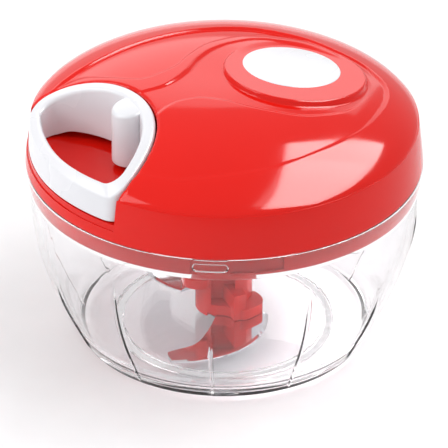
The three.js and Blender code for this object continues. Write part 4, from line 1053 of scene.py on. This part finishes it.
CORD_CORNER = EYELET_SEAT - EYELET_FLANGE - CORD_BEND
EXIT_ANGLE = -math.pi / 2 - math.acos(OUTER_PATH / CORD_CORNER)
cord_tree = swept_tree("cord", "Width")
cord_fibre = moulded("cord_fibre", (0.86, 0.86, 0.83), 0.7, 0.2, 0, Sheen_Weight=0.3)
fibre_place = step(cord_fibre.node_tree, "ShaderNodeTexCoord", output="Object")
braid = step(
    cord_fibre.node_tree, "ShaderNodeTexWave", fibre_place, 260.0, 2.0,
    output="Fac", bands_direction="DIAGONAL",
)
embossed(cord_fibre.node_tree, braid, 0.6, 0.2 * MM)


def cord_piece(name, path, body, node, width=2 * CORD_RADIUS):
    """A length of the cord along a path."""
    mesh = grown(path_mesh(path), cord_tree, cord_fibre, Width=width)
    return finish_mesh(name, mesh, body, cord_fibre, [node])


winding = []
for i in range(round(WINDING_TURNS * TURN_STEPS) + 1):
    turn = i / TURN_STEPS
    climb = min(max((turn - LAYER_TURNS) / CLIMB_TURNS, 0), 1)
    level = min(turn, LAYER_TURNS) - max(turn - LAYER_TURNS - CLIMB_TURNS, 0)
    angle = EXIT_ANGLE + (turn - WINDING_TURNS) * 2 * math.pi
    place = polar(DRUM_PATH + LAYER_PITCH * climb, angle)
    winding.append((*place, CORD_LEVEL + TURN_RISE * level))
cord_piece("wound_cord", winding, "reel", "cord_winding")

lead_start = Vector((*polar(OUTER_PATH, EXIT_ANGLE), CORD_LEVEL))
lead_way = Vector((-math.sin(EXIT_ANGLE), math.cos(EXIT_ANGLE), 0))
lead_corner = Vector((0, -CORD_CORNER, CORD_LEVEL))
lead_end = Vector((0, -KNOT_CENTRE + KNOT_RADIUS, CORD_LEVEL))
bend_start = lead_corner - lead_way * CORD_BEND
bend_end = lead_corner + Vector((0, -CORD_BEND, 0))
lead = [lead_start.lerp(bend_start, k / 8) + lead_way * 0.3 * MM * (1 - k / 8) for k in range(8)]
for t in np.linspace(0, 1, 9):
    lead.append(bend_start * (1 - t) ** 2 + lead_corner * 2 * t * (1 - t) + bend_end * t * t)
lead += [bend_end.lerp(lead_end, k / 40) for k in range(1, 41)]
cord_lead = cord_piece("lead_cord", lead, None, "cord_lead")
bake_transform(cord_lead)

knot = []
for a in np.linspace(0, 2 * math.pi, 145):
    x, y = polar(KNOT_SIZE * (2 + math.cos(3 * a)), 2 * a)
    knot.append((x, y - KNOT_CENTRE, CORD_LEVEL + KNOT_RISE * math.sin(3 * a)))
cord_piece("stopper_knot", knot, "handle", "cord_knot", KNOT_CORD)


# Cord eyelet
# A flanged steel eyelet in the wall of the handle's recess, with a smooth mouth for the cord.
# It is pressed in from the reel's side.
EYELET_BORE = CORD_RADIUS + 0.4 * MM
EYELET_RADIUS = EYELET_BORE + 1.1 * MM


def laid_out(mesh, height):
    """A piece turned on the Z axis, laid along +Y at a height."""
    mesh.transform(Matrix.Translation((0, 0, height)) @ Matrix.Rotation(-math.pi / 2, 4, "X"))
    return mesh


eyelet = rounded(
    [
        (EYELET_BORE, -NOSE_REACH + 0.5 * MM, 0.4 * MM),
        (EYELET_RADIUS, -NOSE_REACH + 0.5 * MM, 0.3 * MM),
        (EYELET_RADIUS, -EYELET_SEAT + 0.3 * MM),
        (EYELET_RADIUS + MM, -EYELET_SEAT + 0.3 * MM, 0.2 * MM),
        (EYELET_RADIUS + MM, -EYELET_SEAT + EYELET_FLANGE, 0.3 * MM),
        (EYELET_BORE, -EYELET_SEAT + EYELET_FLANGE, 0.4 * MM),
    ],
    4,
)
eyelet = laid_out(turned(eyelet, FULL_TURN[::3]), CORD_LEVEL)
finish_mesh("steel_eyelet", eyelet, "lid", plain_steel, ["cord_eyelet"])


# Lid cover
# The red dome: a skirt with a crisp shoulder, and a crown with a stepped swirl pattern that runs
# from the handle's recess round the white disc's pad. One glossy moulding with the recess.
CROWN_LOW = SKIRT_EDGE + 14.2 * MM
CROWN_RISE = 15 * MM
CROWN_POWER = 2.6
CROWN_ROOT = 0.75
SHOULDER_RADIUS = LID_RADIUS - 1.5 * MM
EDGE_ROUND = 0.3 * MM
CROWN_EDGE = SHOULDER_RADIUS - EDGE_ROUND
HANDLE_CENTRE = SHOULDER_RADIUS - 1.6 * MM
NOSE_RADIUS = HANDLE_CENTRE - NOSE_REACH
HANDLE_BOTTOM = SKIRT_EDGE + 5.9 * MM
RECESS_RADIUS = NOSE_RADIUS + 0.5 * MM
RECESS_FLOOR = HANDLE_BOTTOM - 0.3 * MM
RECESS_ROUND = 1.0 * MM
RECESS_WALL = 2 * MM
DISC_CENTRE = 0.382 * SHOULDER_RADIUS
DISC_RADIUS = 15.5 * MM
PAD_SINK = 1.6 * MM
PAD_LEAN = math.radians(2.6)
PAD_TIP = math.radians(2)
PAD_RADIUS = DISC_RADIUS + 6.85 * MM
PAD_CENTRE = np.array((3.4, 22.9)) * MM
PAD_MARGIN = 0.7 * MM
PAD_RIM = 0.8 * MM
PAD_BLEND = 3.5 * MM

# The pattern drops in steps: the field inside the outer line, the panel and the swirl. The field is
# deepest towards FIELD_WAY. The swirl is deepest, and its step widest, at its bend, and elsewhere
# it follows the field by a share. RELIEF_ROOM is what the wall gives way under the pattern
STEP_WIDTH = 1.1 * MM
FIELD_DROP = 0.65 * MM
FIELD_LEAST = 0.3
FIELD_WAY = np.array((-0.9, 0.44)) / (50 * MM)
PANEL_DROP = 0.25 * MM
SWIRL_DROP = 0.8 * MM
SWIRL_LEAST = 0.25
SWIRL_FOLLOWS = 0.4
BEND_CENTRE = np.array((-12, -4)) * MM
BEND_REACH = 18 * MM
BEND_WIDENING = 1.2 * MM
RELIEF_REACH = 50 * MM
RELIEF_ROOM = 1.6 * MM

COVER_SIDES = 450
CROWN_RINGS = 145
CROWN_RING_STEP = 0.33 * MM
EDGE_RINGS = 34


def crown(radius):
    """Height of the crown without its pattern."""
    share = np.clip(np.asarray(radius, float) / CROWN_EDGE, 0, 1)
    return CROWN_LOW + CROWN_RISE * (1 - share**CROWN_POWER) ** CROWN_ROOT


crown_slope = (crown(DISC_CENTRE - 0.6 * MM) - crown(DISC_CENTRE + 0.6 * MM)) / (1.2 * MM)
pad_place = (
    Matrix.Translation((0, DISC_CENTRE, float(crown(DISC_CENTRE)) - PAD_SINK))
    @ Matrix.Rotation(-PAD_LEAN, 4, "Y")
    @ Matrix.Rotation(-math.atan(float(crown_slope)) - PAD_TIP, 4, "X")
)
pad_up = pad_place.to_3x3() @ Vector((0, 0, 1))
pad_middle = pad_place.translation

# The pattern's lines, in millimetres from the axis, as they run round the crown
outer_line = [
    (-28.8, -47.5), (-31.4, -41.9), (-34.0, -33.1), (-36.4, -22.9), (-37.9, -12.2), (-37.9, -2.1),
    (-36.5, 8.3), (-33.5, 17.9), (-29.5, 25.2), (-23.6, 31.6), (-17.0, 37.6), (-8.3, 42.5),
    (-0.3, 46.7), (7.2, 48.5), (14.9, 48.7), (22.7, 45.0), (30.1, 38.5), (37.5, 29.2),
    (41.0, 21.9), (43.7, 14.7), (46.2, 3.2), (46.7, -7.2), (45.3, -16.7), (42.6, -25.5),
    (38.7, -33.7), (34.6, -38.5), (28.8, -43.8), (20, -51),
]
thin_line = [
    (-31.0, -43.5), (-27.9, -35.8), (-21.2, -30.8), (-14.8, -25.6), (-12.1, -21.5),
    (-12.6, -15.9), (-14.6, -9.5), (-18.8, -3.9), (-23.5, 3.9), (-25.1, 10.1), (-25.6, 17.7),
    (-24.5, 25.5), (-21.0, 31.3), (-17.0, 37.6),
]
comma_line = [
    (-6.0, -32.0), (-4.8, -25.8), (-4.3, -19.8), (-5.8, -14.6), (-9.8, -8.1), (-15.4, -1.8),
    (-19.5, 4.7), (-21.6, 12.1), (-21.7, 21.4), (-18.0, 28.8), (-12.2, 35.1), (-5.0, 40.8),
    (2.3, 43.5), (9.8, 44.3), (16.3, 42.4), (23.9, 36.1), (29.0, 28.0), (29.9, 18.5),
    (27.8, 10.5), (20.4, 0.7), (13.8, -5.1), (8.3, -11.4), (6.5, -17.7), (7.3, -23.4), (9.1, -27.4),
    (11.0, -33.0),
]
field_edge = curve_points(outer_line, 10) * MM
panel_sides = [curve_points(outer_line[:11], 10), curve_points(thin_line, 10)[::-1][1:]]
panel_edge = np.concatenate(panel_sides) * MM
swirl_edge = curve_points(comma_line, 10) * MM


def eased(share):
    share = np.clip(share, 0, 1)
    return share * share * (3 - 2 * share)


def inside(points, loop, width):
    """How far points lie inside a closed loop: 0 outside it, 1 past a step of the given width."""
    gap = np.full(len(points), 1e9)
    crossings = np.zeros(len(points), int)
    for a, b in zip(loop, np.roll(loop, -1, axis=0)):
        edge = b - a
        length = edge @ edge
        if length < 1e-14:
            continue
        t = np.clip(((points - a) @ edge) / length, 0, 1)
        gap = np.minimum(gap, np.linalg.norm(points - (a + t[:, None] * edge), axis=1))
        over = (a[1] > points[:, 1]) != (b[1] > points[:, 1])
        rise = edge[1] if edge[1] else 1e-12
        crossings += over & (points[:, 0] < a[0] + (points[:, 1] - a[1]) * edge[0] / rise)
    return eased(0.5 + np.where(crossings % 2 == 1, gap, -gap) / width)


def crown_relief(points):
    """Height of the crown with its pattern, its pad and the round at the recess's edge."""

    def off(place):
        return np.linalg.norm(points - np.array(place), axis=1)

    height = crown(off((0, 0)))
    bend = np.exp(-((off(BEND_CENTRE) / BEND_REACH) ** 2))
    depth = FIELD_LEAST + (1 - FIELD_LEAST) * eased(0.5 + points @ FIELD_WAY)
    height -= FIELD_DROP * depth * inside(points, field_edge, STEP_WIDTH)
    height -= PANEL_DROP * inside(points, panel_edge, STEP_WIDTH)
    swirl = inside(points, swirl_edge, STEP_WIDTH + BEND_WIDENING * bend)
    share = SWIRL_LEAST + (1 - SWIRL_LEAST) * np.maximum(bend, SWIRL_FOLLOWS * depth)
    height -= SWIRL_DROP * share * swirl

    pad = pad_middle.z - ((points - np.array(pad_middle.xy)) @ np.array(pad_up.xy)) / pad_up.z
    share = eased((off(pad_middle.xy) - DISC_RADIUS - PAD_MARGIN) / PAD_BLEND)
    pad += (np.maximum(pad, height) - pad) * share
    share = eased(0.5 + (PAD_RADIUS - off(PAD_CENTRE)) / PAD_RIM)
    height = height * (1 - share) + pad * share
    near = np.clip((off((0, -HANDLE_CENTRE)) - RECESS_RADIUS) / RECESS_ROUND, 0, 1)
    return height - RECESS_ROUND * (1 - np.sqrt(1 - (1 - near) ** 2))


def cover_shell():
    """The cover as one closed shell, before the recess is cut."""
    radii = [k * CROWN_RING_STEP for k in range(1, CROWN_RINGS + 1)]
    start = math.asin(radii[-1] / CROWN_EDGE)
    for k in range(1, EDGE_RINGS + 1):
        radii.append(CROWN_EDGE * math.sin(start + (math.pi / 2 - start) * k / EDGE_RINGS))
    profile = [(0, float(crown(0)))] + [(r, float(crown(r))) for r in radii]
    profile += [
        (SHOULDER_RADIUS - 0.1 * MM, CROWN_LOW - 0.04 * MM),
        (SHOULDER_RADIUS, CROWN_LOW - EDGE_ROUND),
        (LID_RADIUS - 0.05 * MM, SKIRT_EDGE + 0.9 * MM), (LID_RADIUS, SKIRT_EDGE + 0.5 * MM),
        (LID_RADIUS - 0.25 * MM, SKIRT_EDGE), (LID_RADIUS - LID_WALL, SKIRT_EDGE),
        (SHOULDER_RADIUS - LID_WALL, CROWN_LOW - LID_WALL / 2),
    ]
    for k in range(1, 13):
        r = 0 if k == 12 else CROWN_EDGE * math.cos(k * math.pi / 24)
        drop = LID_WALL + (RELIEF_ROOM if r < RELIEF_REACH else 0)
        profile.append((r * (1 - LID_WALL / SHOULDER_RADIUS), float(crown(r)) - drop))
    mesh = turned(profile, np.arange(COVER_SIDES) * 2 * math.pi / COVER_SIDES)
    places = np.zeros(len(mesh.vertices) * 3)
    mesh.vertices.foreach_get("co", places)
    places = places.reshape(-1, 3)
    top = 1 + (len(radii) - 1) * COVER_SIDES
    places[:top, 2] = crown_relief(places[:top, :2])
    mesh.vertices.foreach_set("co", places.ravel())
    return mesh


handle_axis = (0, -HANDLE_CENTRE)
recess_cut = drum(
    RECESS_RADIUS + 0.01 * MM, RECESS_FLOOR - 1.9 * MM, cover_top + 2 * MM, handle_axis, 192
)
cover = carved(cover_shell(), recess_cut)
finish_mesh("lid_crown", cover, "lid", red_plastic, ["lid_cover"], 50)

tub = rounded(
    [
        (0, RECESS_FLOOR - RECESS_WALL),
        (RECESS_RADIUS + RECESS_WALL, RECESS_FLOOR - RECESS_WALL, 1.5 * MM),
        (RECESS_RADIUS + RECESS_WALL, cover_top + MM), (RECESS_RADIUS, cover_top + MM),
        (RECESS_RADIUS, RECESS_FLOOR, 0.8 * MM), (0, RECESS_FLOOR),
    ]
)
under_skin = [
    (0, SKIRT_EDGE), (LID_RADIUS - 0.35 * MM, SKIRT_EDGE),
    (SHOULDER_RADIUS - 0.3 * MM, CROWN_LOW - 0.1 * MM),
]
for share in np.linspace(0.02, 1, 40)[:-1]:
    r = CROWN_EDGE * math.cos(share * math.pi / 2)
    under_skin.append((r * (1 - 0.3 * MM / SHOULDER_RADIUS), float(crown(r)) - 1.1 * MM))
under_skin = turned([*under_skin, (0, float(crown(0)) - 1.1 * MM)])
recess = carved(turned(tub, centre=handle_axis), under_skin, operation="INTERSECT")
cord_way = drum(EYELET_RADIUS + 0.1 * MM, -NOSE_REACH - MM, -NOSE_REACH + 5 * MM, sides=48)
recess = carved(recess, laid_out(cord_way, CORD_LEVEL))
finish_mesh("lid_recess", recess, "lid", red_plastic, ())


# White disc
# A plain white cap pressed into the flat pad of the crown, a hair above it, with a fine rounded
# edge.
white_plastic = moulded("white_plastic", (0.69, 0.69, 0.72), 0.22, 0.08, 0.1, IOR=1.47)
disc = [
    (0, -1.2 * MM), (DISC_RADIUS, -1.2 * MM, 0.2 * MM), (DISC_RADIUS, 0.16 * MM, 0.35 * MM),
    (0, 0.3 * MM),
]
disc = turned(rounded(disc, 4))
disc.transform(pad_place)
finish_mesh("white_disc", disc, "lid", white_plastic, ["lid_disc"])


# Handle ring
# The white ring that the fingers pull: a round nose that fits the recess and a front that carries
# on the lid's outline, with rounded edges, and a boss inside its nose that holds the cord's knot.
HANDLE_FRONT = SHOULDER_RADIUS + 0.1 * MM
HANDLE_LEAN = 0.7 * MM
HANDLE_CORNER = 5 * MM
HANDLE_TOP_ROUND = 1.3 * MM
HANDLE_FOOT_ROUND = 0.6 * MM
RING_SIDE = 4.1 * MM
RING_FRONT = 3.7 * MM
NOSE_LIFT = 2 * MM
LIFT_START = 52 * MM
LIFT_LENGTH = 10 * MM
BOSS_RADIUS = 5.6 * MM
BOSS_CENTRE = NOSE_REACH + 5.5 * MM
BOSS_LOW = HANDLE_BOTTOM + 0.7 * NOSE_LIFT
BOSS_TOP = float(crown(BOSS_CENTRE)) - 0.4 * MM
BOSS_TOP_SLOPE = 0.19
KNOT_POCKET = 2.7 * MM
CORD_HOLE = 1.3 * MM


def ring_outline(front, nose, corner, steps):
    """Points round the handle's outline, anticlockwise, the same number for each call."""
    a, b, d = front - corner, nose - corner, HANDLE_CENTRE
    down = (a * a - b * b + d * d) / (2 * d)
    side = math.sqrt(a * a - down * down)
    lid_angle = math.atan2(-down, side)
    nose_angle = math.atan2(d - down, side)
    arcs = [
        (0, 0, front, math.pi - lid_angle, 2 * math.pi + lid_angle, steps),
        (side, -down, corner, lid_angle, nose_angle, steps // 3),
        (0, -d, nose, nose_angle, math.pi - nose_angle, 2 * steps),
        (-side, -down, corner, math.pi - nose_angle, math.pi - lid_angle, steps // 3),
    ]
    points = []
    for x, y, radius, start, end, count in arcs:
        points += [polar(radius, start + (end - start) * k / count, (x, y)) for k in range(count)]
    return np.array(points)


def ring_mesh():
    """The ring: its front leans in by a little to the top, and its nose's underside is raised."""
    sizes = [
        (HANDLE_FRONT, NOSE_RADIUS), (HANDLE_FRONT + HANDLE_LEAN, NOSE_RADIUS),
        (HANDLE_FRONT - RING_FRONT, NOSE_RADIUS - RING_SIDE),
    ]
    sections = []
    for outer, foot, inner in zip(*[ring_outline(*size, HANDLE_CORNER, 48) for size in sizes]):
        width = np.linalg.norm(outer - inner)
        across = (inner - outer) / width
        lean = float((foot - outer) @ across)
        low = HANDLE_BOTTOM + NOSE_LIFT * float(eased((outer[1] + LIFT_START) / LIFT_LENGTH))
        top_outer, top_inner = [float(crown(np.linalg.norm(side))) for side in (outer, inner)]
        profile = rounded(
            [
                (lean, low, HANDLE_FOOT_ROUND), (width, low, HANDLE_FOOT_ROUND),
                (width, top_inner, HANDLE_TOP_ROUND), (0, top_outer, HANDLE_TOP_ROUND),
            ]
        )
        sections.append([(*(outer + across * u), z) for u, z in profile])
    return lofted(sections, ends=False)


boss = [
    (0, BOSS_LOW), (BOSS_RADIUS, BOSS_LOW, 0.5 * MM), (BOSS_RADIUS, BOSS_TOP, 1.2 * MM),
    (0, BOSS_TOP),
]
boss = turned(rounded(boss), FULL_TURN[::2], (0, -BOSS_CENTRE))
for vertex in boss.vertices:
    if vertex.co.z > BOSS_TOP - 3 * MM:
        vertex.co.z += BOSS_TOP_SLOPE * (vertex.co.y + BOSS_CENTRE)
nose_form = drum(NOSE_RADIUS - 0.4 * MM, HANDLE_BOTTOM - MM, cover_top, handle_axis, 192)
boss = carved(boss, nose_form, operation="INTERSECT")
pocket = drum(KNOT_POCKET, 0, CORD_LEVEL + KNOT_RADIUS + 0.3 * MM, (0, -KNOT_CENTRE), 48)
cord_hole = laid_out(drum(CORD_HOLE, -KNOT_CENTRE, -NOSE_REACH + 2 * MM, sides=48), CORD_LEVEL)
handle = carved(carved(ring_mesh(), boss, operation="UNION"), pocket, cord_hole)
finish_mesh("pull_handle", handle, "handle", white_plastic, ["handle_ring"], 35)


# Table and light
# A white table in a bright room: an even pale surround, one long soft box high behind the lid's
# right that only shows as a pale patch on glossy faces, such as the lid's shoulder, and lamps by
# it, at the left and behind.
WORLD_STRENGTH = 0.7

# For each lamp: azimuth and elevation in degrees, distance, width and height, and watts
LAMPS = {
    "key_light": (150, 62, 1.1, (0.9, 0.6), 5),
    "fill_light": (-15, 34, 1.2, (0.8, 0.8), 8),
    "back_light": (250, 26, 1.2, (1.2, 0.6), 3),
    "shine_light": (158, 58, 1.0, (1.2, 0.6), 33),
}
for name, (azimuth, elevation, distance, size, power) in LAMPS.items():
    light = bpy.data.lights.new(name, "AREA")
    light.shape = "RECTANGLE"
    light.size, light.size_y = size
    light.energy = power
    lamp = aimed(name, light, azimuth, elevation, distance)
    lamp.visible_diffuse = name != "shine_light"
bpy.context.scene.view_settings.view_transform = "Standard"
world = bpy.data.worlds.new("surround")
world.use_nodes = True
world.node_tree.nodes["Background"].inputs["Color"].default_value = (1, 1, 1, 1)
world.node_tree.nodes["Background"].inputs["Strength"].default_value = WORLD_STRENGTH
bpy.context.scene.world = world

bpy.ops.mesh.primitive_plane_add(size=6, location=(0, 0, bowl_low.z))
table = bpy.context.object
table.name = "table"
table.data.materials.append(moulded("white_table", (0.82, 0.82, 0.83), 0.8, 0.1, 0))
